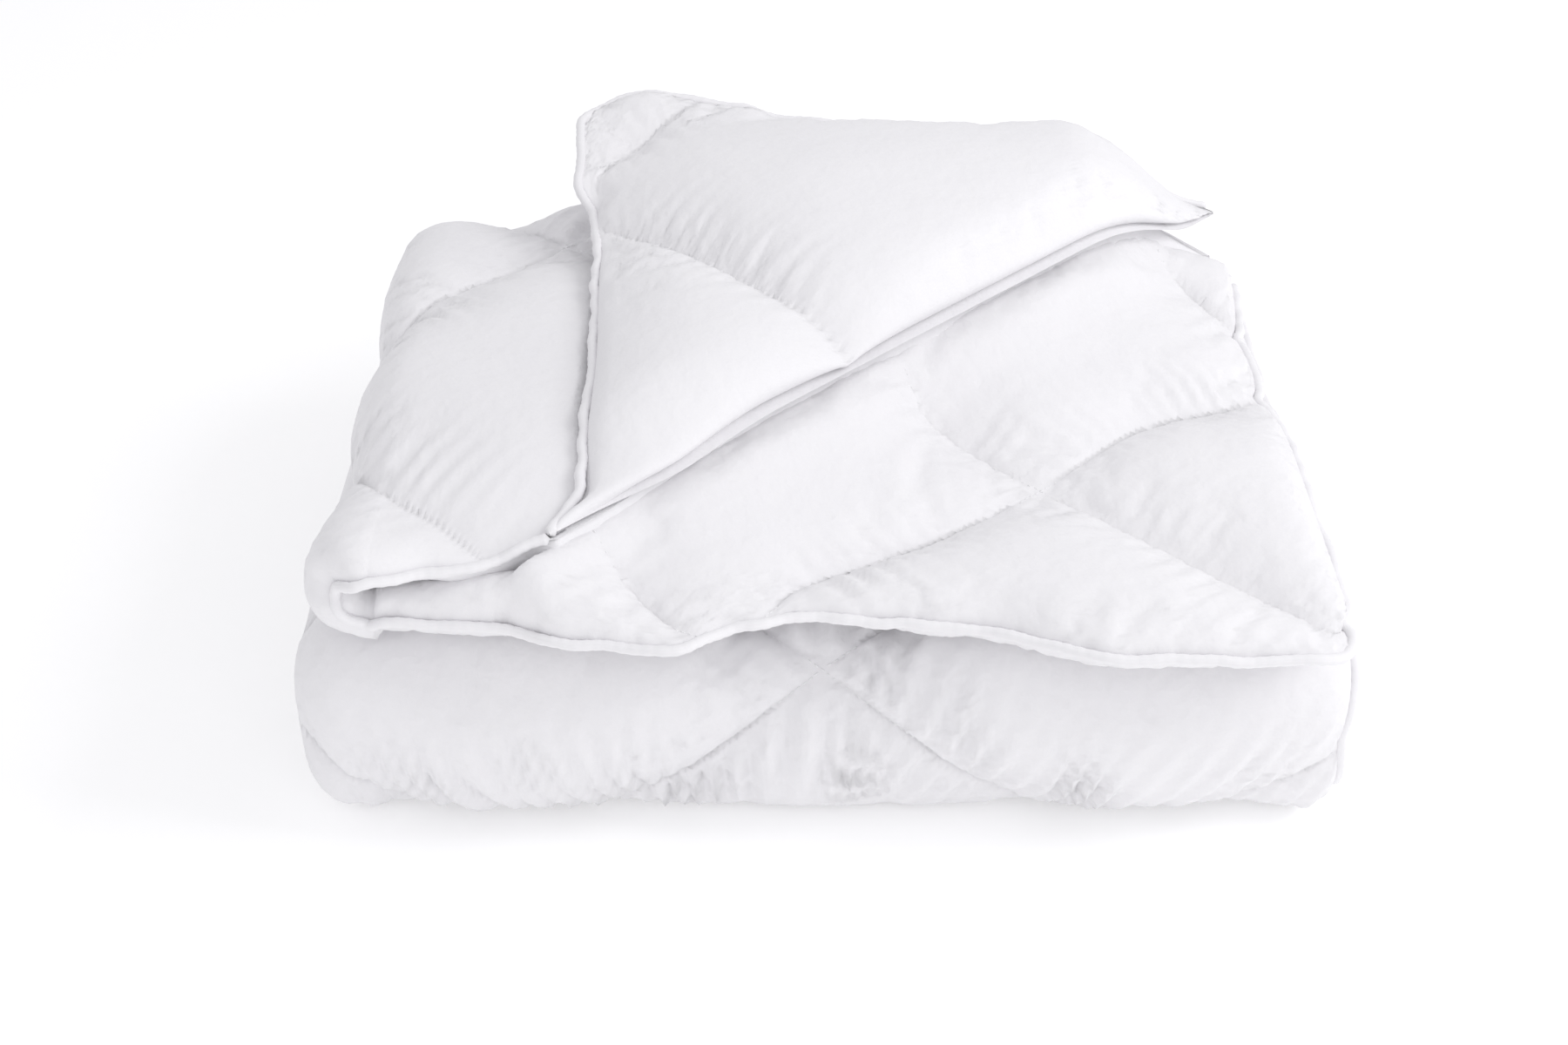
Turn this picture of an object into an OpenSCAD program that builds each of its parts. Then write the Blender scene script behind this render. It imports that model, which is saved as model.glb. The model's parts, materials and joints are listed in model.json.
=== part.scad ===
/* [Folded stack] */
// Width of the folded duvet from its side fold to its piped edges
stack_w = 724; // [600:1:900]
// Depth from the top part's free edge to the back fold
stack_d = 598; // [500:1:760]
// How far the top part's free edge hangs over the front fold
overhang = 41; // [10:1:80]
// How far the bottom part's free end stops short of the back fold
base_short = 20; // [5:1:60]

/* [Padding] */
// Thickness of one sheet in the bottom part
base_sheet = 40; // [25:1:60]
// Thickness of one sheet in the middle part
middle_sheet = 42; // [25:1:60]
// Thickness of the under sheet of the top part
under_sheet = 42; // [25:1:60]
// Thickness of the over sheet of the top part
over_sheet = 54; // [30:1:70]
// Air left between parts that open away from each other
part_gap = 0.4; // [0.3:0.1:2]

/* [Top part] */
// How far the top part stands in from the stack's left side
top_in_left = 22; // [0:1:60]
// How far the top part stands in from the stack's right side
top_in_right = 24; // [0:1:60]
// How far the over sheet's free edge lies behind the under sheet's
over_setback = 66; // [20:1:120]
// Radius of a sewn corner
corner_r = 30; // [10:1:60]
// Length of each edge of the turned-back corner
corner_leg = 510; // [300:1:520]

/* [Cover and edge] */
// Thickness of the cover cloth with its quilted backing
cover_t = 1.5; // [1.2:0.1:3]
// Diameter of the piping round the edge
piping_d = 6; // [4:0.5:10]

/* [Quilting] */
// Distance between neighbouring quilting lines
quilt_pitch = 301; // [150:1:400]
// Width of the channel that a quilting line pulls down
channel_w = 4; // [2:0.5:10]
// Depth of that channel
channel_depth = 1; // [0.6:0.1:1.1]
// Width of the quilting thread
thread_w = 1.2; // [0.6:0.1:1.8]
// Height of the quilting thread
thread_h = 0.6; // [0.3:0.1:0.6]
// Crossing of two lines on the under sheet, across the stack
under_cross_x = 156; // [-200:1:250]
// Crossing of two lines on the under sheet, back from the free edge
under_cross_y = 202; // [60:1:300]
// Crossing of two lines on the front fold, across the stack
front_cross_x = -4; // [-200:1:200]
// Height of that crossing above the floor
front_cross_z = 159; // [120:1:170]
// Distance from the corner fold's front end back to the first crossing line
fold_cross = 41; // [0:1:200]

/* [Hidden] */
$fn = 96;

white = [0.95, 0.95, 0.97];
wadding = [0.90, 0.90, 0.92];

// Outer limits of the stack
left_x = -stack_w / 2;
right_x = stack_w / 2;
free_y = -stack_d / 2;
front_y = free_y + overhang;
back_y = stack_d / 2;
pipe_r = piping_d / 2;
half_gap = part_gap / 2;

// Heights of the planes that the parts open along
base_h = 2 * base_sheet;
middle_h = 2 * middle_sheet;
top_h = under_sheet + over_sheet;
front_axis_z = base_h;
back_axis_z = front_axis_z + middle_h;
corner_axis_z = back_axis_z + top_h;
under_top_z = back_axis_z + under_sheet;

// Lengths of the parts, measured from their folds
base_len = back_y - base_short - front_y;
middle_len = back_y - front_y;
middle_fold_h = middle_h - half_gap;
middle_depth = middle_h - part_gap;
edge_x = right_x - piping_d;

// Plan of the top part
top_left_x = left_x + top_in_left;
top_edge_x = right_x - top_in_right - piping_d;
top_fold_r = top_h / 2;
top_flat_x = top_left_x + top_fold_r;
under_edge_y = free_y + piping_d;
over_edge_y = under_edge_y + over_setback;
fold_x = top_edge_x - corner_leg;
corner_t = over_sheet - 1;
corner_mid_z = corner_axis_z + part_gap + corner_t / 2;
corner_z = corner_axis_z + part_gap;

// ---- Shapes shared by the parts ----

// Section of a padded fold, taken in by d from its outer face. It runs from the fold at u = 0
// to its free end at u = len, and from the plane it opens along at v = 0 out to v = h.
module fold_region(d, h, len) {
    translate([h, half_gap]) square([len - h, h - d - half_gap]);
    intersection() {
        translate([h, 0]) circle(r = h - d);
        translate([0, half_gap]) square([h, h]);
    }
}

// The same section run on past its free end and its opening plane, to cut clean
module fold_core(d, h, len) {
    translate([h, -1]) square([len - h + 1, h - d + 1]);
    intersection() {
        translate([h, 0]) circle(r = h - d);
        translate([0, -1]) square([h, h + 1]);
    }
}

// The layer of a padded fold between depths d0 and d1
module fold_layer(d0, d1, h, len) {
    difference() {
        fold_region(d0, h, len);
        if (d1 < h - part_gap) fold_core(d1, h, len);
    }
}

// Runs a section in Y and Z across the stack from x0 to x1
module across(x0, x1) {
    translate([x0, 0, 0]) rotate([90, 0, 90]) linear_extrude(x1 - x0) children();
}

// Runs a section in X and Z back from y0 to y1
module back_from(y0, y1) {
    translate([0, y1, 0]) rotate([90, 0, 0]) linear_extrude(y1 - y0) children();
}

// Runs a plan up from z0 to z1
module up_from(z0, z1) {
    translate([0, 0, z0]) linear_extrude(z1 - z0) children();
}

// Half-round padding of a side fold, with its flat side at x
module side_round(x, z, r, y0, y1) {
    back_from(y0, y1) intersection() {
        translate([x, z]) circle(r = r);
        translate([x - r, z - r]) square([r, 2 * r]);
    }
}

// Piping along the edge of a fold's layer at depth d: an arc round the fold and a straight run
module fold_piping(d, h, len) {
    turn_r = h - d;
    gap_angle = asin(half_gap / (turn_r - pipe_r));
    translate([0, h, 0]) {
        translate([0, 0, turn_r]) rotate([-90, 0, 0]) cylinder(h = len - h, r = pipe_r);
        rotate([90, 0, 90]) rotate(90) rotate_extrude(angle = 90 - gap_angle)
            translate([turn_r, 0]) circle(r = pipe_r);
    }
}

// A rectangle with one sewn corner, at its low right
module one_corner(x0, y0, x1, y1, r) {
    translate([x0, y0 + r]) square([x1 - x0, y1 - y0 - r]);
    translate([x0, y0]) square([x1 - x0 - r, y1 - y0]);
    translate([x1 - r, y0 + r]) circle(r = r);
}

// Bars of width w along quilting lines through a point, square to each other and on the bias
module quilt_grid(at, w) {
    reach = stack_w + stack_d;
    translate(at) for (angle = [45, -45], n = [-4 : 4])
        rotate(angle) translate([-reach, n * quilt_pitch - w / 2]) square([2 * reach, w]);
}

// ---- Bottom part ----

module at_base() {
    translate([front_y, front_axis_z]) mirror([0, 1]) children();
}

module base_layer(d0, d1, trim = 0) {
    across(left_x + base_sheet, edge_x - trim)
        at_base() fold_layer(d0, d1, base_h, base_len - trim);
}

module base_fillings() {
    base_layer(cover_t, base_sheet - cover_t, cover_t);
    base_layer(base_sheet + cover_t, base_h - cover_t, cover_t);
}

// Two quilting lines that run down the front fold from their crossing
module front_grid(w) {
    back_from(front_y - 1, front_y + base_h) intersection() {
        translate([front_cross_x, front_cross_z]) for (turn = [-45, -135])
            rotate(turn) translate([0, -w / 2]) square([stack_w, w]);
        translate([left_x, channel_w]) square([stack_w, front_axis_z + middle_h]);
    }
}

module base_face_cover() {
    color(white) difference() {
        base_layer(0, base_h);
        base_layer(base_sheet - cover_t, base_sheet + cover_t);
        base_fillings();
        intersection() {
            front_grid(channel_w);
            base_layer(0, channel_depth);
        }
    }
}

module base_reverse_cover() {
    color(white) base_layer(base_sheet - cover_t, base_sheet + cover_t);
}

module base_lower_filling() {
    color(wadding) base_layer(cover_t, base_sheet - cover_t, cover_t);
}

module base_upper_filling() {
    color(wadding) base_layer(base_sheet + cover_t, base_h - cover_t, cover_t);
}

module base_side_fold() {
    color(white) intersection() {
        across(left_x, left_x + base_sheet) at_base() fold_region(0, base_h, base_len);
        side_round(left_x + base_sheet, base_sheet, base_sheet, front_y, back_y);
    }
}

module base_piping() {
    end_y = front_y + base_len + pipe_r;
    edge_pipe_x = edge_x + pipe_r;
    color(white) for (d = [0.5, 1.5] * base_sheet) {
        translate([edge_pipe_x, front_y, front_axis_z]) mirror([0, 0, 1])
            fold_piping(d, base_h, base_len + pipe_r);
        translate([edge_pipe_x, end_y, d]) sphere(r = pipe_r);
        translate([left_x + base_sheet, end_y, d]) rotate([0, 90, 0])
            cylinder(h = edge_pipe_x - left_x - base_sheet, r = pipe_r);
    }
}

module base_front_stitching() {
    color(white) intersection() {
        front_grid(thread_w);
        base_layer(channel_depth - thread_h, channel_depth);
    }
}

// ---- Middle part ----

// The middle part folds to the bottom part at its front and to the top part at its back
module middle_section(d0, d1) {
    translate([front_y, front_axis_z])
        fold_layer(d0, d1, middle_fold_h, middle_len / 2);
    translate([back_y, back_axis_z]) rotate(180)
        fold_layer(middle_depth - d1, middle_depth - d0, middle_fold_h, middle_len / 2);
}

module middle_layer(d0, d1, trim = 0) {
    across(left_x + middle_sheet, edge_x - trim) middle_section(d0, d1);
}

module middle_face_cover() {
    color(white) difference() {
        middle_layer(0, middle_depth);
        middle_layer(middle_sheet - cover_t, middle_sheet + cover_t);
        middle_layer(cover_t, middle_sheet - cover_t, cover_t);
        middle_layer(middle_sheet + cover_t, middle_depth - cover_t, cover_t);
        intersection() {
            front_grid(channel_w);
            middle_layer(0, channel_depth);
        }
    }
}

module middle_front_stitching() {
    color(white) intersection() {
        front_grid(thread_w);
        middle_layer(channel_depth - thread_h, channel_depth);
    }
}

module middle_reverse_cover() {
    color(white) middle_layer(middle_sheet - cover_t, middle_sheet + cover_t);
}

module middle_upper_filling() {
    color(wadding) middle_layer(cover_t, middle_sheet - cover_t, cover_t);
}

module middle_lower_filling() {
    color(wadding) middle_layer(middle_sheet + cover_t, middle_depth - cover_t, cover_t);
}

module middle_side_fold() {
    color(white) intersection() {
        across(left_x, left_x + middle_sheet) middle_section(0, middle_depth);
        side_round(left_x + middle_sheet, front_axis_z + middle_sheet, middle_sheet,
            front_y, back_y);
    }
}

module middle_piping() {
    color(white) for (d = [0.5, 1.5] * middle_sheet) {
        translate([edge_x + pipe_r, front_y, front_axis_z])
            fold_piping(d, middle_fold_h, middle_len / 2);
        translate([edge_x + pipe_r, back_y, back_axis_z]) rotate([180, 0, 0])
            fold_piping(middle_depth - d, middle_fold_h, middle_len / 2);
    }
}

// ---- Top part: an under sheet and an over sheet, joined by the side fold ----

// The top part's section between two depths, over the whole width or from x0 to x1
module top_layer(d0, d1, x0 = top_left_x, x1 = right_x) {
    across(x0, x1) translate([back_y, back_axis_z]) mirror([1, 0])
        fold_layer(d0, d1, top_h, stack_d);
}

module under_plan(trim = 0) {
    difference() {
        one_corner(top_left_x, under_edge_y + trim, top_edge_x - trim, back_y, corner_r - trim);
        translate([top_left_x - 1, over_edge_y]) square([top_fold_r + 1, stack_d]);
    }
}

// Everything on the back left side of the corner's fold line, a little clear of it
module beyond_fold(trim = 0) {
    reach = stack_w + stack_d;
    translate([fold_x, over_edge_y]) rotate(45) translate([-reach, part_gap + trim])
        square([2 * reach, reach]);
}

module over_plan(trim = 0) {
    intersection() {
        translate([top_flat_x, over_edge_y + trim])
            square([top_edge_x - trim - top_flat_x, back_y - over_edge_y - trim]);
        beyond_fold(trim);
    }
}

module under_sheet_layer(d0, d1, trim = 0) {
    intersection() {
        top_layer(over_sheet + d0, over_sheet + d1);
        up_from(0, corner_axis_z) under_plan(trim);
    }
}

module over_sheet_layer(d0, d1, trim = 0) {
    intersection() {
        top_layer(d0, d1);
        up_from(0, corner_axis_z) over_plan(trim);
    }
}

module under_grid(w) {
    quilt_grid([under_cross_x, free_y + under_cross_y], w);
}

module over_grid(w) {
    step = fold_cross * cos(45);
    quilt_grid([fold_x - step, over_edge_y - step], w);
}

module under_channel(w, depth, height) {
    up_from(under_top_z - depth, under_top_z - depth + height) intersection() {
        under_grid(w);
        under_plan(channel_w);
        translate([left_x, free_y]) square([stack_w, stack_d - top_h]);
    }
}

module under_face_cover() {
    color(white) difference() {
        under_sheet_layer(0, under_sheet);
        under_sheet_layer(0, cover_t);
        under_sheet_layer(cover_t, under_sheet - cover_t, cover_t);
    }
}

module under_reverse_cover() {
    color(white) difference() {
        under_sheet_layer(0, cover_t);
        under_channel(channel_w, channel_depth, 2);
    }
}

module under_filling() {
    color(wadding) under_sheet_layer(cover_t, under_sheet - cover_t, cover_t);
}

module under_stitching() {
    color(white) under_channel(thread_w, channel_depth, thread_h);
}

module under_piping() {
    mid_z = back_axis_z + under_sheet / 2;
    bend_x = top_edge_x - corner_r;
    bend_y = under_edge_y + corner_r;
    color(white) {
        translate([top_edge_x + pipe_r, back_y, back_axis_z]) mirror([0, 1, 0])
            fold_piping(over_sheet + under_sheet / 2, top_h, back_y - bend_y);
        translate([bend_x, bend_y, mid_z]) rotate(-90) rotate_extrude(angle = 90)
            translate([corner_r + pipe_r, 0]) circle(r = pipe_r);
        translate([top_left_x, under_edge_y - pipe_r, mid_z]) rotate([0, 90, 0])
            cylinder(h = bend_x - top_left_x, r = pipe_r);
    }
}

module over_channel(w, depth, height) {
    up_from(corner_axis_z - depth, corner_axis_z - depth + height) intersection() {
        over_grid(w);
        over_plan(channel_w);
        translate([left_x, free_y]) square([stack_w, stack_d - top_h]);
    }
}

module over_face_cover() {
    color(white) difference() {
        over_sheet_layer(0, over_sheet);
        over_sheet_layer(over_sheet - cover_t, over_sheet);
        over_sheet_layer(cover_t, over_sheet - cover_t, cover_t);
        over_channel(channel_w, channel_depth, 2);
    }
}

module over_reverse_cover() {
    color(white) over_sheet_layer(over_sheet - cover_t, over_sheet);
}

module over_filling() {
    color(wadding) over_sheet_layer(cover_t, over_sheet - cover_t, cover_t);
}

module over_stitching() {
    color(white) over_channel(thread_w, channel_depth, thread_h);
}

module over_piping() {
    color(white) intersection() {
        translate([top_flat_x, over_edge_y - pipe_r, corner_axis_z - over_sheet / 2])
            rotate([0, 90, 0]) cylinder(h = corner_leg, r = pipe_r);
        up_from(0, corner_axis_z) beyond_fold();
    }
}

module top_side_fold() {
    color(white) intersection() {
        top_layer(0, top_h, top_left_x, top_flat_x);
        side_round(top_flat_x, back_axis_z + top_fold_r, top_fold_r, over_edge_y, back_y);
    }
}

// ---- Turned-back corner of the over sheet ----

module corner_plan(trim = 0) {
    side = corner_leg - trim;
    intersection() {
        translate([top_edge_x, over_edge_y]) rotate(180)
            one_corner(0, -side, side, 0, corner_r - trim);
        beyond_fold(trim);
    }
}

// The corner's sheet between two heights above its underside
module corner_slab(z0, z1, trim = 0) {
    up_from(corner_z + z0, corner_z + z1) corner_plan(trim);
}

module corner_channel(w, depth, height) {
    up_from(corner_z + corner_t - depth, corner_z + corner_t - depth + height) intersection() {
        over_grid(w);
        corner_plan(channel_w);
    }
}

module corner_face_cover() {
    color(white) difference() {
        corner_slab(0, corner_t / 2);
        corner_slab(cover_t, corner_t, cover_t);
    }
}

module corner_reverse_cover() {
    color(white) difference() {
        corner_slab(corner_t / 2, corner_t);
        corner_slab(0, corner_t - cover_t, cover_t);
        corner_channel(channel_w, channel_depth, 2);
    }
}

module corner_filling() {
    color(wadding) corner_slab(cover_t, corner_t - cover_t, cover_t);
}

module corner_stitching() {
    color(white) corner_channel(thread_w, channel_depth, thread_h);
}

module corner_piping() {
    run = corner_leg - corner_r;
    color(white) intersection() {
        union() {
            translate([fold_x - pipe_r, over_edge_y - pipe_r, corner_mid_z]) rotate([-90, 0, 0])
                cylinder(h = run + pipe_r, r = pipe_r);
            translate([fold_x + corner_r, over_edge_y + run, corner_mid_z]) rotate(90)
                rotate_extrude(angle = 90) translate([corner_r + pipe_r, 0]) circle(r = pipe_r);
            translate([fold_x + corner_r, over_edge_y + corner_leg + pipe_r, corner_mid_z])
                rotate([0, 90, 0]) cylinder(h = corner_leg, r = pipe_r);
        }
        up_from(corner_z, corner_z + corner_t) beyond_fold();
    }
}

base_face_cover();
base_reverse_cover();
base_lower_filling();
base_upper_filling();
base_side_fold();
base_piping();
base_front_stitching();
middle_face_cover();
middle_reverse_cover();
middle_lower_filling();
middle_upper_filling();
middle_side_fold();
middle_piping();
middle_front_stitching();
under_face_cover();
under_reverse_cover();
under_filling();
under_piping();
under_stitching();
over_face_cover();
over_reverse_cover();
over_filling();
over_piping();
over_stitching();
top_side_fold();
corner_face_cover();
corner_reverse_cover();
corner_filling();
corner_piping();
corner_stitching();
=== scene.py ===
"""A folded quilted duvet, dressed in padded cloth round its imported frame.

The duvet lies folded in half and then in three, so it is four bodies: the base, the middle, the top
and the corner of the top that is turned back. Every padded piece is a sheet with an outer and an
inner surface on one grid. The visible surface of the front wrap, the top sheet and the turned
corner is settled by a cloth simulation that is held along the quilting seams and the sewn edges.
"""

import json
import logging
import math
from collections.abc import Callable
from dataclasses import dataclass, field
from enum import Enum

import bpy
import numpy as np
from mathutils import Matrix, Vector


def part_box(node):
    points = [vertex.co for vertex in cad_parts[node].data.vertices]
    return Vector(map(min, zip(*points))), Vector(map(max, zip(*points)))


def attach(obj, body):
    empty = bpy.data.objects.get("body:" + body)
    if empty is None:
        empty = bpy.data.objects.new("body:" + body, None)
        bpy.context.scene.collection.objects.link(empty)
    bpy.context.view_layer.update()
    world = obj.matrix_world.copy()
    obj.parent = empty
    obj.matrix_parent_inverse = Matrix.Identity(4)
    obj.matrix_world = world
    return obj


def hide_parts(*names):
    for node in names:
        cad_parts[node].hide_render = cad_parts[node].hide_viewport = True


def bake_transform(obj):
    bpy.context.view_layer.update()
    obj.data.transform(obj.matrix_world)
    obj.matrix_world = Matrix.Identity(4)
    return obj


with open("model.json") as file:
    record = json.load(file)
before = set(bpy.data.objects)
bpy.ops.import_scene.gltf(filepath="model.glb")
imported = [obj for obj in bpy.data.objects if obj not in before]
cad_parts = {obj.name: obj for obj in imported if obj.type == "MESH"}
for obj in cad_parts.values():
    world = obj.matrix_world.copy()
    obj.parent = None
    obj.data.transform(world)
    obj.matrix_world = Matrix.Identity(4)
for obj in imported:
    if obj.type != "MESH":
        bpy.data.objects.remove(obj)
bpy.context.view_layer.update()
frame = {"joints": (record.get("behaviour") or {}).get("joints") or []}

LOG = logging.getLogger("duvet")
Array = np.ndarray
ROOT_HALF = math.sqrt(0.5)


# ---------------------------------------------------------------- small mathematics


def ease(t: Array | float) -> Array:
    """Smooth step from 0 to 1: 3t² - 2t³ of t held between 0 and 1."""
    t = np.clip(t, 0.0, 1.0)
    return t * t * (3.0 - 2.0 * t)


def curve_through(knots: tuple[tuple[float, float], ...], x: Array) -> Array:
    """A curve that eases from each knot to the next.

    Args:
        knots: Pairs of place and value, in rising order of place.
        x: Places to work out.

    Returns:
        The value at each place: between two knots it follows 3t² - 2t³.
    """
    places = np.array([k[0] for k in knots])
    values = np.array([k[1] for k in knots])
    i = np.clip(np.searchsorted(places, x) - 1, 0, len(places) - 2)
    t = (x - places[i]) / (places[i + 1] - places[i])
    return values[i] + (values[i + 1] - values[i]) * ease(t)


def round_edge(distance: Array, reach: float) -> Array:
    """Quarter-circle rise with distance from an edge: sqrt(1 - (1 - d/reach)²), 1 past reach."""
    u = np.clip(distance / reach, 0.0, 1.0)
    return np.sqrt(np.clip(1.0 - (1.0 - u) ** 2, 0.0, 1.0))


def soft_noise(x: Array, y: Array, size: float, seed: int) -> Array:
    """Smooth noise from about -1 to 1: a sum of sine waves in random directions.

    Args:
        x: First coordinate of each point.
        y: Second coordinate of each point.
        size: Typical length of a wave, in metres.
        seed: Seed of the random directions, lengths and phases.

    Returns:
        The noise at each point.
    """
    rng = np.random.default_rng(seed)
    total = np.zeros(np.broadcast(x, y).shape)
    for _ in range(7):
        angle, phase = rng.uniform(0.0, 2.0 * math.pi, 2)
        wave = 2.0 * math.pi / (size * rng.uniform(0.7, 1.6))
        total += np.sin(wave * (x * math.cos(angle) + y * math.sin(angle)) + phase)
    return total / 3.0


def unit(v: Array) -> Array:
    """Vectors of length 1 along the last axis."""
    return v / np.maximum(np.linalg.norm(v, axis=-1, keepdims=True), 1e-12)


def grid_normals(points: Array) -> Array:
    """Normal of a grid surface at each vertex: the cross product of its two directions."""
    return unit(np.cross(np.gradient(points, axis=0), np.gradient(points, axis=1)))


def close_spaced(count: int, low: float, high: float) -> Array:
    """Fractions from 0 to 1 that lie closer together near the ends.

    Args:
        count: How many fractions.
        low: How much closer they lie near 0, from 0 to 1.
        high: How much closer they lie near 1, from 0 to 1.

    Returns:
        The running sum of steps 1 - low·exp(-8u) - high·exp(-8(1 - u)), scaled to end at 1.
    """
    u = (np.arange(count - 1) + 0.5) / (count - 1)
    reach = count / 6.0
    steps = 1.0 - low * np.exp(-u * reach) - high * np.exp(-(1.0 - u) * reach)
    return np.concatenate([[0.0], np.cumsum(steps)]) / steps.sum()


# ---------------------------------------------------------------- places, from the frame


def low(node: str) -> Array:
    """Lowest corner of a CAD node's box."""
    return np.array(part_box(node)[0], float)


def high(node: str) -> Array:
    """Highest corner of a CAD node's box."""
    return np.array(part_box(node)[1], float)


def axis_of(joint: str) -> Array:
    """A point on a joint's axis."""
    return np.array(next(j for j in frame["joints"] if j["name"] == joint)["pos_m"], float)


@dataclass(frozen=True)
class Stack:
    """Places of the folded duvet, all read from the frame."""

    left: float = low("base_side_fold")[0]
    edge: float = high("base_face_cover")[0]
    front: float = axis_of("front_fold")[1]
    back: float = axis_of("back_fold")[1]
    base_top: float = axis_of("front_fold")[2]
    middle_top: float = axis_of("back_fold")[2]
    over_top: float = axis_of("corner_fold")[2]
    base_end: float = high("base_face_cover")[1]
    top_flat: float = high("top_side_fold")[0]
    top_edge: float = high("under_face_cover")[0]
    top_front: float = low("under_face_cover")[1]
    under_top: float = high("under_reverse_cover")[2]
    fold_start_x: float = axis_of("corner_fold")[0]
    over_front: float = axis_of("corner_fold")[1]
    corner_base: float = low("corner_face_cover")[2]
    corner_back: float = high("corner_face_cover")[1]
    pipe_radius: float = (high("over_piping")[2] - low("over_piping")[2]) / 2.0

    @property
    def fold_offset(self) -> float:
        """x minus y along the corner's fold line."""
        return self.fold_start_x - self.over_front


STACK = Stack()


# ---------------------------------------------------------------- quilting


@dataclass(frozen=True)
class QuiltLines:
    """Two families of parallel seams on the bias, which cross into diamonds."""

    cross: tuple[float, float]
    pitch: float = 0.301
    seed: int = 1
    no_falling: tuple[int, ...] = ()
    no_rising: tuple[int, ...] = ()

    def coordinates(self, s: Array, t: Array) -> tuple[Array, Array]:
        """Distances along the two diagonals from the crossing: (s + t)/√2 and (t - s)/√2."""
        ds, dt = s - self.cross[0], t - self.cross[1]
        return (ds + dt) * ROOT_HALF, (dt - ds) * ROOT_HALF

    def nearest(self, p: Array, left_out: tuple[int, ...]) -> Array:
        """Distance to the nearest of the lines a pitch apart, or a pitch if it is left out."""
        number = np.round(p / self.pitch)
        distance = np.abs(p - self.pitch * number)
        return np.where(np.isin(number, left_out), self.pitch, distance)

    def puff(self, s: Array, t: Array, reach: float = 0.100) -> Array:
        """Height of the padding from 0 on a seam to 1 in a diamond.

        Args:
            s: Place across the cloth.
            t: Place along the cloth.
            reach: Distance from a seam at which the padding is full.

        Returns:
            The height. Each family gives (1 - (1 - d/reach)²)^0.62 of the distance d, and the two
            are multiplied.
        """
        p, q = self.coordinates(s, t)
        total = np.ones(np.broadcast(s, t).shape)
        for d in (self.nearest(p, self.no_falling), self.nearest(q, self.no_rising)):
            u = np.clip(d / reach, 0.0, 1.0)
            total *= (1.0 - (1.0 - u) ** 2) ** 0.62
        return total

    def puckers(self, s: Array, t: Array) -> Array:
        """Short ridges square to the seams, highest a little way off each and gone by 60 mm.

        Args:
            s: Place across the cloth.
            t: Place along the cloth.

        Returns:
            The sum of the ridges. A ridge is a sine of the distance along the seam, of wavelength
            about 17 mm bent by noise, and its height is x·exp(1 - x), where x is the distance from
            the seam over 14 mm.
        """
        p, q = self.coordinates(s, t)
        total = np.zeros(np.broadcast(s, t).shape)
        families = ((p, q, self.no_falling), (q, p, self.no_rising))
        for n, (d, along, left_out) in enumerate(families):
            line = np.round(d / self.pitch)
            x = self.nearest(d, left_out) / 0.014
            bend = soft_noise(along, d * 0.6, 0.055, self.seed + n)
            wave = np.sin(2.0 * math.pi * along / 0.0175 + 2.2 * bend + line)
            strength = 0.55 + 0.45 * soft_noise(along, d, 0.12, self.seed + 5 + n)
            total += wave * x * np.exp(1.0 - x) * np.clip(strength, 0.05, 1.2)
        return total


def snap_to_seams(x: Array, t: Array, lines: QuiltLines) -> tuple[Array, Array]:
    """Moves the nearest vertex of every row onto each seam that crosses the row.

    Args:
        x: Place of each vertex across the sheet.
        t: Place of each vertex along the sheet.
        lines: The quilting.

    Returns:
        The new x, and which vertices lie on a seam. The neighbours up to two columns away share
        the move, so the grid stays even.
    """
    spacing = np.abs(np.gradient(x, axis=0)) + 1e-9
    period = lines.pitch / ROOT_HALF
    moved, on_seam = x.copy(), np.zeros(x.shape, bool)
    for slope in (-1.0, 1.0):
        start = lines.cross[0] + slope * (t - lines.cross[1])
        offset = start - x
        number = -np.round(offset / period)
        left_out = lines.no_falling if slope < 0.0 else tuple(-k for k in lines.no_rising)
        real = ~np.isin(number, left_out)
        offset += period * number
        cells = np.round(offset / spacing)
        rest = offset - cells * spacing
        moved += rest * np.clip(1.0 - np.abs(cells) / 3.0, 0.0, 1.0) * real
        on_seam |= (cells == 0) & real
    return moved, on_seam


# ---------------------------------------------------------------- meshes


def new_object(name: str, vertices: Array, faces: Array) -> bpy.types.Object:
    """A smooth-shaded mesh object from whole arrays.

    Args:
        name: Name of the object.
        vertices: Places, one row each.
        faces: Vertex numbers, one row of four for each face.

    Returns:
        The object, linked to the scene.
    """
    mesh = bpy.data.meshes.new(name)
    count, sides = faces.shape
    mesh.vertices.add(len(vertices))
    mesh.vertices.foreach_set("co", np.ascontiguousarray(vertices, np.float32).ravel())
    mesh.loops.add(count * sides)
    mesh.loops.foreach_set("vertex_index", np.ascontiguousarray(faces, np.int32).ravel())
    mesh.polygons.add(count)
    mesh.polygons.foreach_set("loop_start", np.arange(count, dtype=np.int32) * sides)
    mesh.update(calc_edges=True)
    mesh.validate()
    mesh.shade_smooth()
    obj = bpy.data.objects.new(name, mesh)
    bpy.context.scene.collection.objects.link(obj)
    return obj


def quads(index: Array) -> Array:
    """Faces of a grid of vertex numbers, one row of four each."""
    corners = (index[:-1, :-1], index[1:, :-1], index[1:, 1:], index[:-1, 1:])
    return np.stack(corners, axis=-1).reshape(-1, 4)


def signed_volume(vertices: Array, faces: Array) -> float:
    """Six times the volume that the faces enclose, positive if they point outwards."""
    a, b, c, d = (vertices[faces[:, k]] for k in range(4))
    return float(np.sum(a * np.cross(b, c)) + np.sum(a * np.cross(c, d)))


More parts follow.
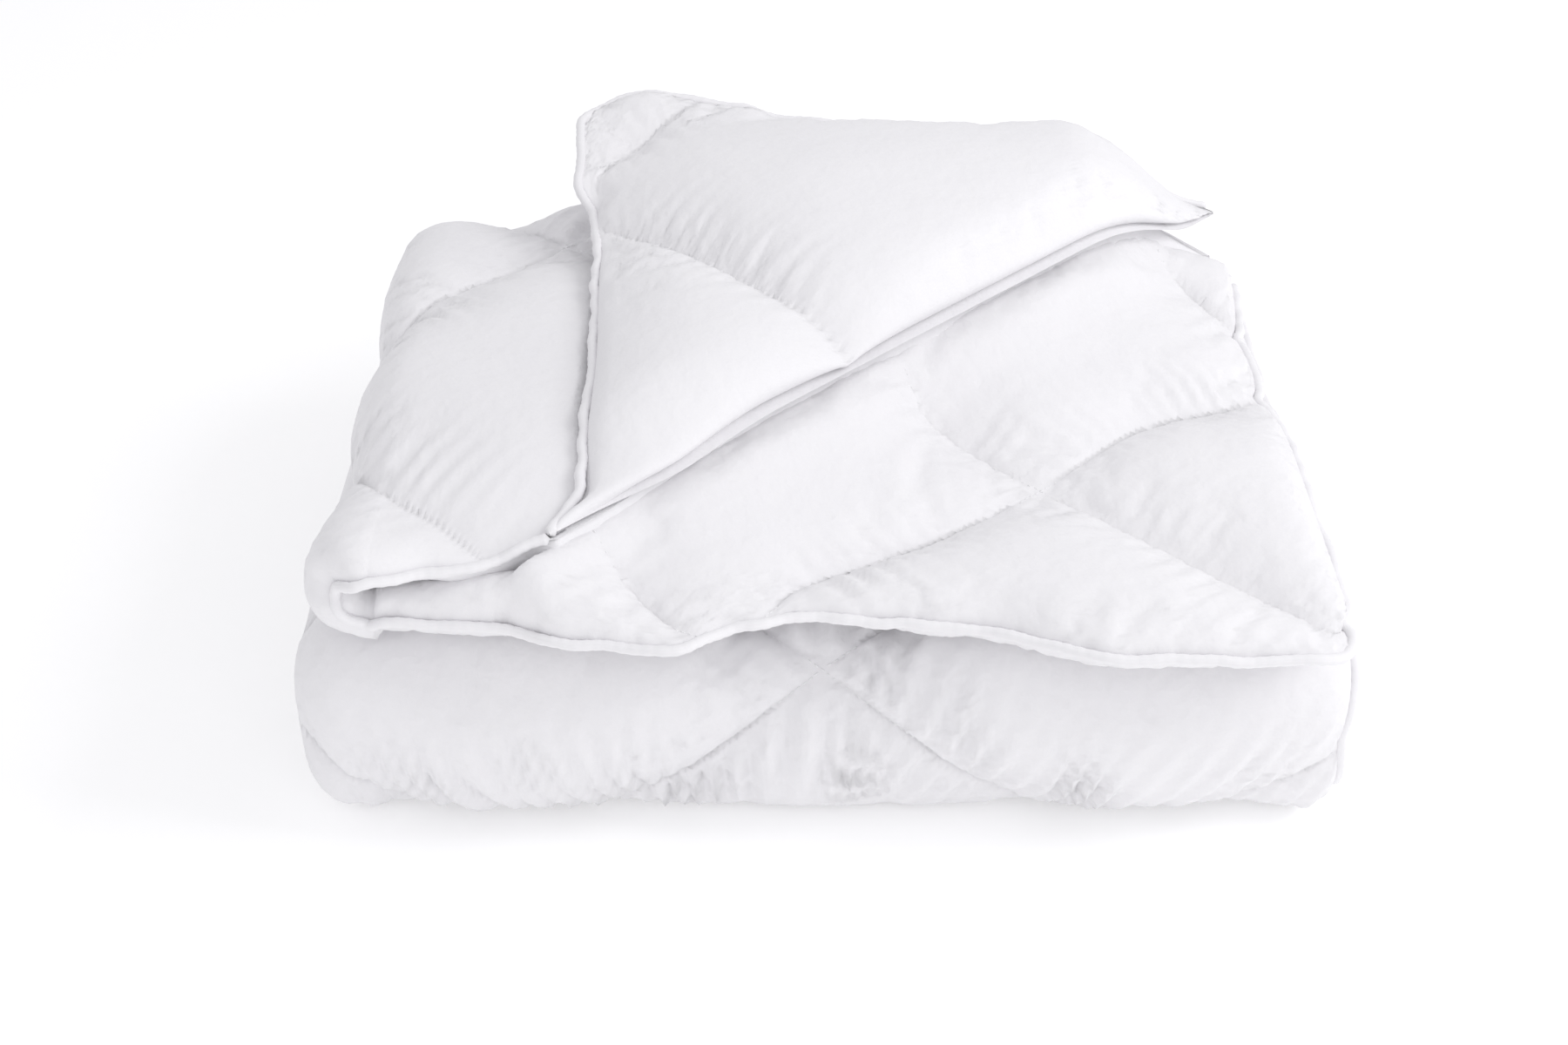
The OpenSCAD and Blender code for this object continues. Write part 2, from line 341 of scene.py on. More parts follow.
def closed_sheet(name: str, outer: Array, inner: Array) -> bpy.types.Object:
    """A closed mesh from two surfaces on one grid, which share their border.

    Args:
        name: Name of the object.
        outer: Grid of places of one surface.
        inner: Grid of places of the other. Its border isn't used.

    Returns:
        The object, with its faces outwards.
    """
    n, m = outer.shape[:2]
    front = np.arange(n * m).reshape(n, m)
    rear = front.copy()
    rear[1:-1, 1:-1] = n * m + np.arange((n - 2) * (m - 2)).reshape(n - 2, m - 2)
    vertices = np.concatenate([outer.reshape(-1, 3), inner[1:-1, 1:-1].reshape(-1, 3)])
    faces = np.concatenate([quads(front), quads(rear)[:, ::-1]])
    if signed_volume(vertices, faces) < 0.0:
        faces = faces[:, ::-1]
    return new_object(name, vertices, faces)


def tube(name: str, path: Array, side: Array, radius: Array, sides: int = 10) -> bpy.types.Object:
    """A closed tube along a path.

    Args:
        name: Name of the object.
        path: Points of the centre line.
        side: A direction at each point, roughly square to the path.
        radius: Radius at each point.
        sides: Corners of each ring.

    Returns:
        The object. A ring's corner k is the point plus radius times cos and sin of its angle along
        two directions square to the path, and each end is drawn in to a small cap.
    """
    along = unit(np.gradient(path, axis=0))
    first = unit(side - np.sum(side * along, axis=1, keepdims=True) * along)
    second = np.cross(along, first)
    angle = 2.0 * math.pi * np.arange(sides) / sides
    ring = (
        np.cos(angle)[None, :, None] * first[:, None]
        + np.sin(angle)[None, :, None] * second[:, None]
    )
    rings = path[:, None] + radius[:, None, None] * ring
    caps = [
        path[k] + (rings[k] - path[k]) * 0.12 + along[k] * radius[k] * sign * 0.6
        for k, sign in ((0, -1.0), (-1, 1.0))
    ]
    rings = np.concatenate([caps[:1], rings, caps[1:]])
    index = np.arange(rings.shape[0] * sides).reshape(-1, sides)
    index = np.concatenate([index, index[:, :1]], axis=1)
    vertices, faces = rings.reshape(-1, 3), quads(index)
    ends = np.arange(sides)
    last = (rings.shape[0] - 1) * sides
    fans = []
    for k in range(1, sides - 2, 2):
        fans.append([ends[0], ends[k], ends[k + 1], ends[k + 2]])
        fans.append([last, last + ends[k + 2], last + ends[k + 1], last + ends[k]])
    faces = np.concatenate([faces, np.array(fans)[:, ::-1]])
    if signed_volume(vertices, faces) < 0.0:
        faces = faces[:, ::-1]
    return new_object(name, vertices, faces)


def resample(path: Array, step: float, *others: Array) -> list[Array]:
    """A path, and what goes with it, at even steps of its own length.

    Args:
        path: Points in order.
        step: About how far apart the new points lie.
        others: Rows of values that belong to the points.

    Returns:
        The new path and the others, read off between points in straight lines.
    """
    length = np.concatenate([[0.0], np.cumsum(np.linalg.norm(np.diff(path, axis=0), axis=1))])
    count = max(2, int(round(length[-1] / step)) + 1)
    at = np.linspace(0.0, length[-1], count)
    return [
        np.stack([np.interp(at, length, a[:, k]) for k in range(a.shape[1])], axis=1)
        for a in (path, *others)
    ]


def even_out(rows: Array, width: int) -> Array:
    """Evens out rows of values.

    Args:
        rows: The values.
        width: How many neighbours count.

    Returns:
        Each row averaged with its neighbours, by a bell-shaped weight over the width.
    """
    weight = np.hanning(width + 2)[1:-1]
    weight = weight / weight.sum()
    padded = np.pad(rows, ((width // 2, width // 2), (0, 0)), "edge")
    return np.stack([np.convolve(padded[:, k], weight, "valid") for k in range(rows.shape[1])], 1)


# ---------------------------------------------------------------- cloth simulation


@dataclass(frozen=True)
class ClothSettings:
    """How a sheet's cover settles over its padding."""

    pressure: float = 4.0
    fullness: float = 0.05
    bending: float = 0.03
    stiffness: float = 10.0
    frames: int = 20
    cap: float = 0.014
    seed: int = 3

    def settle(
        self, points: Array, held: Array, outwards: Array, share: Array | float = 1.0
    ) -> Array:
        """Simulates a grid of cloth that is held at some vertices.

        Args:
            points: Places of the grid.
            held: Which vertices stay where they are.
            outwards: The way that the padding pushes at each vertex.
            share: How much of the move each vertex takes, from 0 to 1.

        Returns:
            The settled places, no further than the cap from where they began.
        """
        n, m = points.shape[:2]
        rng = np.random.default_rng(self.seed)
        faces = quads(np.arange(n * m).reshape(n, m))
        if np.sum(grid_normals(points) * outwards) < 0.0:
            faces = faces[:, ::-1]
        shaken = points + rng.normal(0.0, 0.0003, points.shape) * ~held[..., None]
        cloth = new_object("settling", shaken.reshape(-1, 3), faces)
        group = cloth.vertex_groups.new(name="held")
        group.add(np.flatnonzero(held.ravel()).tolist(), 1.0, "REPLACE")
        modifier = cloth.modifiers.new("cloth", "CLOTH")
        s = modifier.settings
        s.quality = 4
        s.mass = 0.15
        s.air_damping = 2.0
        s.tension_stiffness = s.compression_stiffness = self.stiffness
        s.shear_stiffness = self.stiffness / 2.0
        s.bending_stiffness = self.bending
        s.use_pressure = True
        s.uniform_pressure_force = self.pressure
        s.vertex_group_mass = "held"
        s.shrink_min = -self.fullness
        s.effector_weights.gravity = 0.0
        modifier.collision_settings.use_collision = False
        modifier.point_cache.frame_start = 1
        modifier.point_cache.frame_end = self.frames + 1
        scene = bpy.context.scene
        for step in range(1, self.frames + 1):
            scene.frame_set(step)
        mesh = cloth.evaluated_get(bpy.context.evaluated_depsgraph_get()).to_mesh()
        flat = np.empty(n * m * 3, np.float32)
        mesh.vertices.foreach_get("co", flat)
        scene.frame_set(1)
        data = cloth.data
        bpy.data.objects.remove(cloth)
        bpy.data.meshes.remove(data)
        move = flat.reshape(n, m, 3).astype(float) - points
        length = np.linalg.norm(move, axis=-1, keepdims=True)
        held_back = self.cap * np.tanh(length / self.cap) / np.maximum(length, 1e-9)
        return points + move * held_back * np.broadcast_to(share, (n, m))[..., None]


# ---------------------------------------------------------------- padded sheets


class Side(Enum):
    """The two covers of a padded sheet."""

    OUTER = "outer"
    INNER = "inner"


@dataclass
class PaddedSheet:
    """A quilted sheet on a grid: its centre surface, its padding on both sides and its seams."""

    name: str
    lines: QuiltLines
    s: Array
    t: Array
    centre: Array
    outwards: Array
    half_out: Array
    half_in: Array
    shift: Array
    rim: Array
    valley_out: Array | float = 0.2
    valley_in: Array | float = 0.35
    pucker_out: Array | float = 0.0016
    pucker_in: Array | float = 0.0008
    rim_out: Array | None = None
    overhang: Array | None = None
    on_seam: Array | None = None
    marks: dict[str, Array] = field(default_factory=dict)
    middle: Array = field(init=False)
    outer: Array = field(init=False)
    inner: Array = field(init=False)

    def lay(self) -> None:
        """Works out both surfaces.

        The seam surface is the centre moved along the normal by the shift. Each side stands off it
        by its half thickness times the rounding of the rim, and drops to the valley share on a
        seam. The puckers and the overhang past the rim are added to that.
        """
        away = self.outwards
        puff = self.lines.puff(self.s, self.t)
        ridge = self.lines.puckers(self.s, self.t) * (0.3 + 0.7 * self.even_cells())
        self.middle = self.centre + away * self.shift[..., None]
        up = (self.half_out - self.shift) * (self.rim if self.rim_out is None else self.rim_out)
        down = (self.half_in + self.shift) * self.rim
        up = up * (self.valley_out + (1.0 - self.valley_out) * puff)
        down = down * (self.valley_in + (1.0 - self.valley_in) * puff)
        soft = np.clip(self.rim, 0.0, 1.0) ** 2
        up = up + ridge * self.pucker_out * soft
        down = np.maximum(down - ridge * self.pucker_in * soft, 0.0)
        self.outer = self.middle + away * np.maximum(up, 0.0)[..., None]
        self.inner = self.middle - away * down[..., None]
        if self.overhang is not None:
            self.outer = self.outer + self.overhang
            self.inner = self.inner + self.overhang

    def map_all(self, bend: Callable[[Array], Array]) -> None:
        """Puts the seam surface and both covers through one bend of space."""
        covers = (self.middle, self.outer, self.inner)
        self.middle, self.outer, self.inner = (bend(a) for a in covers)

    def border_held(self) -> Array:
        """True on the rim, where the two panels are sewn together."""
        held = np.zeros(self.s.shape, bool)
        held[0], held[-1], held[:, 0], held[:, -1] = True, True, True, True
        return held

    def even_cells(self) -> Array:
        """0 where the columns crowd together and 1 where they are a millimetre or two apart."""
        gap = np.linalg.norm(np.gradient(self.centre, axis=0), axis=-1)
        return ease((gap - 0.0011) / 0.0013)

    def settle(self, side: Side, cloth: ClothSettings, free: Array) -> None:
        """Simulates one cover, held on its seams and its rim.

        Args:
            side: Which cover.
            cloth: How the cloth behaves.
            free: Which vertices may move.
        """
        held = self.border_held() | self.on_seam | ~free
        surface = getattr(self, side.value)
        settled = cloth.settle(surface, held, surface - self.middle, self.even_cells())
        setattr(self, side.value, settled)

    def keep_between(self, side: Side, low_z: float, high_z: float) -> None:
        """Presses one cover flat where it would pass a level below or above."""
        surface = getattr(self, side.value)
        surface[..., 2] = np.clip(surface[..., 2], low_z, high_z)

    def build(self) -> bpy.types.Object:
        """Makes the closed mesh, with the cloth's own lengths as its UV map."""
        for surface in (self.outer, self.inner):
            surface[0], surface[-1] = self.middle[0], self.middle[-1]
            surface[:, 0], surface[:, -1] = self.middle[:, 0], self.middle[:, -1]
        obj = closed_sheet(self.name, self.outer, self.inner)
        flat = np.stack([self.s, self.t], axis=-1)
        uv = np.concatenate([flat.reshape(-1, 2), flat[1:-1, 1:-1].reshape(-1, 2)])
        mesh = obj.data
        corner = np.empty(len(mesh.loops), np.int32)
        mesh.loops.foreach_get("vertex_index", corner)
        layer = mesh.uv_layers.new(name="fabric")
        layer.data.foreach_set("uv", np.ascontiguousarray(uv[corner], np.float32).ravel())
        return obj

    def seams_on(self, side: Side, where: Array) -> list[tuple[Array, Array]]:
        """Lines of points along the seams on one side.

        Args:
            side: Which cover.
            where: Which vertices count.

        Returns:
            The points and the surface normals of each run of a seam.
        """
        surface = getattr(self, side.value)
        normal = grid_normals(surface)
        away = surface - self.middle
        normal = normal * np.where(np.sum(normal * away, axis=-1, keepdims=True) < 0, -1.0, 1.0)
        runs = []
        rows = np.arange(self.s.shape[1])
        period = self.lines.pitch / ROOT_HALF
        t = self.t[self.t.shape[0] // 2]
        for slope in (-1.0, 1.0):
            left_out = self.lines.no_falling
            if slope > 0.0:
                left_out = tuple(-k for k in self.lines.no_rising)
            for k in sorted(set(range(-5, 6)) - set(left_out)):
                target = self.lines.cross[0] + slope * (t - self.lines.cross[1]) + period * k
                near = np.argmin(np.abs(self.s - target), axis=0)
                ok = (np.abs(self.s[near, rows] - target) < 0.0015) & where[near, rows]
                breaks = np.flatnonzero(np.diff(np.concatenate([[0], ok.astype(int), [0]])))
                for a, b in zip(breaks[::2], breaks[1::2]):
                    if b - a > 6:
                        pick = (near[a:b], rows[a:b])
                        runs.append((surface[pick], normal[pick]))
        return runs


# ---------------------------------------------------------------- thread and piping


@dataclass(frozen=True)
class Thread:
    """The quilting stitches: short rounded lengths of thread in the valley of each seam."""

    pitch: float = 0.0052
    length: float = 0.0041
    width: float = 0.0011
    sides: int = 6

    def stitches(self, name: str, runs: list[tuple[Array, Array]]) -> bpy.types.Object:
        """One mesh of the stitches along runs of seam.

        Each stitch is four rings along its length, of radius 0.4, 1, 1 and 0.4, bowed so that its
        ends go into the cloth.

        Args:
            name: Name of the object.
            runs: Points and surface normals of each run.

        Returns:
            The object.
        """
        places, alongs, ups = [], [], []
        for points, normals in runs:
            at, up = resample(points, self.pitch, normals)
            places.append(at)
            alongs.append(unit(np.gradient(at, axis=0)))
            ups.append(unit(up))
        centre, along, up = (np.concatenate(a)[:, None, None] for a in (places, alongs, ups))
        across = unit(np.cross(up, along))
        angle = 2.0 * math.pi * np.arange(self.sides) / self.sides
        reach = np.array([-0.5, -0.3, 0.3, 0.5])[None, :, None, None] * self.length
        fat = np.array([0.4, 1.0, 1.0, 0.4])[None, :, None, None] * self.width / 2.0
        rise = np.array([-0.5, 0.25, 0.25, -0.5])[None, :, None, None] * self.width
        c, s = (f(angle)[None, None, :, None] for f in (np.cos, np.sin))
        rings = centre + along * reach + up * rise + fat * (c * across + s * up)
        count = rings.shape[0]
        index = np.arange(count * 4 * self.sides).reshape(count, 4, self.sides)
        turned = np.roll(index, -1, axis=2)
        walls = np.stack(
            [index[:, :-1], index[:, 1:], turned[:, 1:], turned[:, :-1]], axis=-1
        ).reshape(-1, 4)
        start, end = index[:, 0], index[:, 3]
        caps = np.concatenate(
            [start[:, [0, 1, 2, 3]], start[:, [0, 3, 4, 5]], end[:, [3, 2, 1, 0]], end[:, [5, 4, 3, 0]]]
        )
        vertices, faces = rings.reshape(-1, 3), np.concatenate([walls, caps])
        if signed_volume(vertices, faces) < 0.0:
            faces = faces[:, ::-1]
        return new_object(name, vertices, faces)


@dataclass(frozen=True)
class Piping:
    """A covered cord in the sewn edge, gathered where the cloth is eased round it."""

    radius: float = STACK.pipe_radius
    stand_off: float = 0.0024
    gather: float = 0.008
    spacing: float = 0.0026
    plump: float = 1.16
    seed: int = 11

    def along(self, name: str, path: Array, inside: Array) -> bpy.types.Object:
        """The tube along an edge.

        Args:
            name: Name of the object.
            path: Points of the sewn edge.
            inside: A point of the sheet next to each one, on its inner side.

        Returns:
            The tube. Its radius swells by a sine of the length, one turn for each gather.
        """
        out = unit(path - inside)
        path, out = resample(path, self.spacing, out)
        path, out = even_out(path, 5), unit(even_out(out, 15))
        length = np.concatenate([[0.0], np.cumsum(np.linalg.norm(np.diff(path, axis=0), axis=1))])
        zero = np.zeros_like(length)
        wave = soft_noise(length, zero, self.gather * 2.0, self.seed)
        slow = soft_noise(length, zero, 0.05, self.seed + 1)
        path = path + out * (self.stand_off + 0.0005 * wave + 0.0010 * slow)[:, None]
        path[:, 2] += 0.0009 * soft_noise(length, zero, 0.035, self.seed + 2)
        ridge = 0.5 + 0.5 * np.sin(2.0 * math.pi * length / self.gather + 1.5 * slow)
        radius = self.radius * (self.plump + 0.15 * ridge + 0.04 * wave)
        return tube(name, path, out, radius)


def fold_band(
    name: str, lower: Array, upper: Array, bulge: float, depth: float
) -> bpy.types.Object:
    """A strip of cover that bridges two lines on the outside of a fold.

    Args:
        name: Name of the object.
        lower: Points of one line, from left to right.
        upper: Points of the other.
        bulge: How far the strip stands out halfway between them.
        depth: How far its inner face lies in, halfway between them.

    Returns:
        The object. Both faces run straight from line to line, plus or minus a hump of 4·v·(1 - v)
        of the share v of the way.
    """
    x = np.linspace(max(lower[0, 0], upper[0, 0]), min(lower[-1, 0], upper[-1, 0]), 170)
    a, b = (
        np.stack([x, np.interp(x, line[:, 0], line[:, 1]), np.interp(x, line[:, 0], line[:, 2])], 1)
        for line in (lower, upper)
    )
    v = np.linspace(0.0, 1.0, 13)[None, :, None]
    flat = a[:, None] * (1.0 - v) + b[:, None] * v
    hump = np.zeros_like(flat)
    hump[..., 1] = (4.0 * v * (1.0 - v))[..., 0]
    return closed_sheet(name, flat + hump * bulge, flat - hump * depth)


def edge_path(sheet: PaddedSheet, *parts: tuple[Array, Array]) -> tuple[Array, Array]:
    """Points along a sheet's edge, and points a few cells inside it.

    Args:
        sheet: The sheet.
        parts: Pairs of column and row numbers, in order along the edge.

    Returns:
        The points of the edge, and a point inside for each.
    """
    n, m = sheet.s.shape
    cells = 6
    columns = np.concatenate([np.broadcast_to(p[0], np.broadcast(*p).shape) for p in parts])
    rows = np.concatenate([np.broadcast_to(p[1], np.broadcast(*p).shape) for p in parts])
    path = sheet.middle[columns, rows]
    inner_columns = np.clip(columns, cells, n - cells - 1)
    inner_rows = np.clip(rows, cells, m - cells - 1)
    keep = np.concatenate([[True], np.linalg.norm(np.diff(path, axis=0), axis=1) > 1e-5])
    return path[keep], sheet.middle[inner_columns, inner_rows][keep]


# ---------------------------------------------------------------- the folded parts


@dataclass
class FrontWrap:
    """The outer layer that runs from under the base, round the front, to the top of the middle."""

    step: float = 0.0043
    half: float = 0.0204
    edge_radius: float = 0.024
    side_radius: float = 0.040
    front_depth: float = 0.052
    squareness: float = 2.5
    lines: QuiltLines = QuiltLines(cross=(-0.004, 0.149), seed=21)
    cloth: ClothSettings = ClothSettings(fullness=0.012, bending=0.4, cap=0.006, seed=5)
    pleat_turn: float = 0.020
    pleat_heights: tuple[float, float, float, float] = (0.0044, 0.0050, 0.0046, 0.0032)

    def side_path(self) -> tuple[Array, Array, Array]:
        """The sheet seen from the side, from the back of the base round to the back of the middle.

        Returns:
            Places (y, z), outward normals (y, z) and lengths along the outside, which are 0 at
            the floor and half the height at the middle of the front. The front is the curve
            |y|^n + |z|^n = 1, scaled to the front's depth and height.
        """
        low_z, high_z = self.half, STACK.middle_top - self.half - 0.0003
        mid_z, rise = (low_z + high_z) / 2.0, (high_z - low_z) / 2.0
        start = STACK.front + self.half + self.front_depth
        angle = np.linspace(-math.pi / 2.0, math.pi / 2.0, 400)
        power = 2.0 / self.squareness
        front_y = start - self.front_depth * np.abs(np.cos(angle)) ** power
        front_z = mid_z + rise * np.sign(np.sin(angle)) * np.abs(np.sin(angle)) ** power
        leg = np.linspace(STACK.base_end - 0.002, start, 200)[:-1]
        top = np.linspace(start, STACK.back - 0.052, 200)[1:]
        y = np.concatenate([leg, front_y, top])
        z = np.concatenate([np.full_like(leg, low_z), front_z, np.full_like(top, high_z)])
        fine = resample(np.stack([y, z], axis=1), 0.001)[0]
        way = unit(np.gradient(fine, axis=0))
        normal = np.stack([way[:, 1], -way[:, 0]], axis=1)
        kernel = np.hanning(25) / np.hanning(25).sum()
        smooth = [np.convolve(np.pad(normal[:, k], 12, "edge"), kernel, "valid") for k in (0, 1)]
        normal = unit(np.stack(smooth, axis=1))
        normal = normal * np.where(normal[len(normal) // 2, 0] > 0.0, -1.0, 1.0)
        outside = fine + normal * self.half
        length = np.concatenate([[0.0], np.cumsum(np.linalg.norm(np.diff(outside, axis=0), axis=1))])
        centre = np.argmin(np.where(fine[:, 0] < start, np.abs(fine[:, 1] - mid_z), 9.0))
        length = length - length[centre] + mid_z
        spaced = close_spaced(int(length.ptp() / self.step), 0.8, 0.8)
        at = length[0] + spaced * length.ptp()
        pick = [np.interp(at, length, a) for a in (*fine.T, *normal.T)]
        return np.stack(pick[:2], axis=1), unit(np.stack(pick[2:], axis=1)), at

    def pleats(self, x: Array, t: Array) -> Array:
        """Height of the upright folds that the seams and the floor draw into the front.

        They are a sine of a phase that rises with x by one turn in each pleat turn. The phase also
        changes with height, so the folds lean, and fans out below the crossing.

        Args:
            x: Place across the front.
            t: Length up the front from the floor.

        Returns:
            The height: the sine times the heights below the crossing, right of it and at the left
            and right foot, each eased in and out over its own patch.
        """
        cross_x, cross_t = self.lines.cross
        across, drop = x - cross_x, cross_t - t
        bend = soft_noise(x, t * 0.5, 0.10, 31)
        lean = 0.42 * ease(across / 0.05) - 0.30 * ease((-0.06 - across) / 0.06)
        fan = 1.0 / (1.0 + 1.6 * np.clip(drop, 0.0, 0.2) * np.exp(-((across / 0.10) ** 2)))
        phase = 2.0 * math.pi * (across * fan + lean * drop + 0.004 * bend) / self.pleat_turn
        wave = np.sin(phase + 0.9 * bend)
        wave = wave * (0.75 + 0.35 * soft_noise(x, t, 0.07, 32))
        falling, rising = across - drop, across + drop
        below = ease(-falling / 0.03 + 0.3) * ease(rising / 0.03 + 0.3) * ease((0.15 - drop) / 0.05)
        right = ease(falling / 0.02) * ease((0.13 - falling) / 0.08) * ease((0.13 - drop) / 0.05)
        foot = ease((0.130 - t) / 0.09) * ease((t + 0.010) / 0.02)
        left_foot = foot * ease((-0.06 - x) / 0.05) * ease((x + 0.35) / 0.05)
        right_foot = foot * ease((x - 0.10) / 0.06)
        patches = zip(self.pleat_heights, (below, right, left_foot, right_foot))
        return wave * sum(height * patch for height, patch in patches)

    def sheet(self) -> PaddedSheet:
        """The padded sheet, its cover settled by simulation."""
        place, normal, t_row = self.side_path()
        count = int((STACK.edge - STACK.left) / self.step)
        u = close_spaced(count, 0.8, 0.8)
        t = np.broadcast_to(t_row, (count, len(t_row))).copy()
        edge_puff = self.lines.puff(np.full_like(t_row, STACK.edge), t_row)
        right = STACK.edge - 0.003 - 0.007 * (1.0 - edge_puff)
        x = STACK.left + u[:, None] * (right - STACK.left)[None, :]
        x, on_seam = snap_to_seams(x, t, self.lines)
        x[0], x[-1] = STACK.left, right
        centre = np.stack([x, *(np.broadcast_to(place[:, k], x.shape) for k in (0, 1))], axis=-1)
        away = np.stack(
            [np.zeros_like(x), *(np.broadcast_to(normal[:, k], x.shape) for k in (0, 1))], axis=-1
        )
        from_left, from_right = x - STACK.left, right[None, :] - x
        from_back, to_end = t - t_row[0], t_row[-1] - t
        side = 1.0 - ease(from_left / self.side_radius)
        shift = -self.half * side
        rim = (
            round_edge(from_left, self.side_radius)
            * round_edge(from_right, self.edge_radius)
            * round_edge(from_back, self.edge_radius)
            * round_edge(to_end, 0.012)
        )
        half = np.full(x.shape, self.half)
        front = ease((-0.10 - centre[..., 1]) / 0.06)
        sheet = PaddedSheet(
            "front_wrap", self.lines, x, t, centre, away, half, half, shift, rim,
            valley_out=0.55 - 0.42 * front * ease((t - 0.002) / 0.03),
            valley_in=np.full(x.shape, 0.5),
            pucker_out=0.0005 + 0.0004 * front,
            on_seam=on_seam,
        )
        sheet.lay()
        sheet.settle(Side.OUTER, self.cloth, front > 0.02)
        near_seam = np.clip(self.lines.puff(x, t, 0.022), 0.0, 1.0)
        folds = self.pleats(x, t) * front * rim * near_seam
        sheet.outer = sheet.outer + away * folds[..., None]
        sheet.keep_between(Side.OUTER, 0.0, STACK.middle_top - 0.0003)
        return sheet


@dataclass
class InnerLayer:
    """The inner layer of the base or the middle, folded back on itself along the left side."""

    name: str
    low_z: float
    high_z: float
    front: float
    end: float
    lines: QuiltLines
    faces_up: bool
    step: float = 0.006
    rim_reach: float = 0.040
    edge_radius: float = 0.022

    def sheet(self) -> PaddedSheet:
        """The padded sheet.

        Returns:
            The sheet. Its left rim lies at the face away from the front fold's axis and its front
            rim at the face next to the axis, so that it fits inside the outer layer's turn.
        """
        half, end, lines = (self.high_z - self.low_z) / 2.0, self.end, self.lines
        rows = close_spaced(int((end - self.front) / self.step), 0.8, 0.8)
        count = int((STACK.edge - STACK.left) / self.step)
        u = close_spaced(count, 0.8, 0.8)
        y_row = self.front + rows * (end - self.front)
        t = np.broadcast_to(y_row, (count, len(y_row))).copy()
        edge_puff = lines.puff(np.full_like(y_row, STACK.edge), y_row)
        right = STACK.edge - 0.004 - 0.007 * (1.0 - edge_puff)
        x = STACK.left + u[:, None] * (right - STACK.left)[None, :]
        x, on_seam = snap_to_seams(x, t, lines)
        x[0], x[-1] = STACK.left, right
        centre = np.stack([x, t, np.full_like(x, (self.low_z + self.high_z) / 2.0)], axis=-1)
        away = np.zeros_like(centre)
        away[..., 2] = 1.0 if self.faces_up else -1.0
        from_left, from_front = x - STACK.left, t - self.front
        side, nose = (1.0 - ease(d / self.rim_reach) for d in (from_left, from_front))
        shift = half * (nose - side * (1.0 - nose))
        last = 0.024 if self.faces_up else 0.006
        rim = (
            round_edge(from_left, self.rim_reach)
            * round_edge(right[None, :] - x, self.edge_radius)
            * round_edge(from_front, self.rim_reach)
            * round_edge(end - t, last)
        )
        thick = np.full(x.shape, half)
        sheet = PaddedSheet(
            self.name, lines, x, t, centre, away, thick, thick, shift, rim,
            valley_out=0.35, valley_in=0.35, pucker_out=0.0009, pucker_in=0.0009, on_seam=on_seam,
        )
        sheet.lay()
        for side in Side:
            sheet.keep_between(side, self.low_z, self.high_z)
        return sheet


@dataclass
class BackTurn:
    """The quarter turn at the back, where the middle rises and the top comes down to one plane."""

    start: float
    length: Array | float
    upwards: bool

    def __call__(self, points: Array) -> Array:
        """Bends points past the start round the plane's edge.

        Args:
            points: Places before the bend.

        Returns:
            The places after it. The height off the plane becomes the radius r, and the angle a
            grows evenly with y, so a point goes to y = start + r·sin a, r·cos a off the plane.
        """
        sign = 1.0 if self.upwards else -1.0
        radius = (points[..., 2] - STACK.middle_top) * sign
        angle = np.clip((points[..., 1] - self.start) / self.length, 0.0, 1.0) * math.pi / 2.0
        y = np.minimum(points[..., 1], self.start) + radius * np.sin(angle)
        z = STACK.middle_top + sign * radius * np.cos(angle)
        return np.stack([points[..., 0], y, z], axis=-1)


def sink_tip(points: Array) -> Array:
    """Lowers what lies above the under layer, at the corner's tip and at the back left.

    The height above the under layer is multiplied by 1 - 0.72·a·b - 0.28·c·d - 0.30·e·f, where a
    rises with x, b and d with y, c towards the left, e at the fold and f towards the front.

    Args:
        points: Places before.

    Returns:
        The places after.
    """
    x, y = points[..., 0], points[..., 1]
    share = 0.72 * ease((x - 0.19) / 0.14) * ease((y - 0.10) / 0.15)
    share = share + 0.28 * ease((-0.19 - x) / 0.06) * ease((y - 0.06) / 0.16)
    along = np.exp(-(((x - y - STACK.fold_offset) / 0.08) ** 2))
    share = share + 0.30 * along * ease((STACK.over_front + 0.13 - y) / 0.12)
    above = np.maximum(points[..., 2] - STACK.under_top, 0.0)
    sunk = points.copy()
    sunk[..., 2] = points[..., 2] - above * share
    return sunk


@dataclass
class TopGrid:
    """Where the top sheet's cloth lies before it is padded."""

    s: Array
    t: Array
    on_seam: Array
    part: Array
    centre: Array
    front_y: Array
    right: Array
    along_over: Array
    to_fold: Array

    @property
    def on_over(self) -> Array:
        """True on the over layer."""
        return self.part >= 1.0

    @property
    def under(self) -> Array:
        """True on the under layer."""
        return self.part <= 0.0

    def from_fold(self) -> Array:
        """How far each vertex lies past the corner's fold line, as x minus y."""
        return self.centre[..., 0] - self.centre[..., 1] - STACK.fold_offset


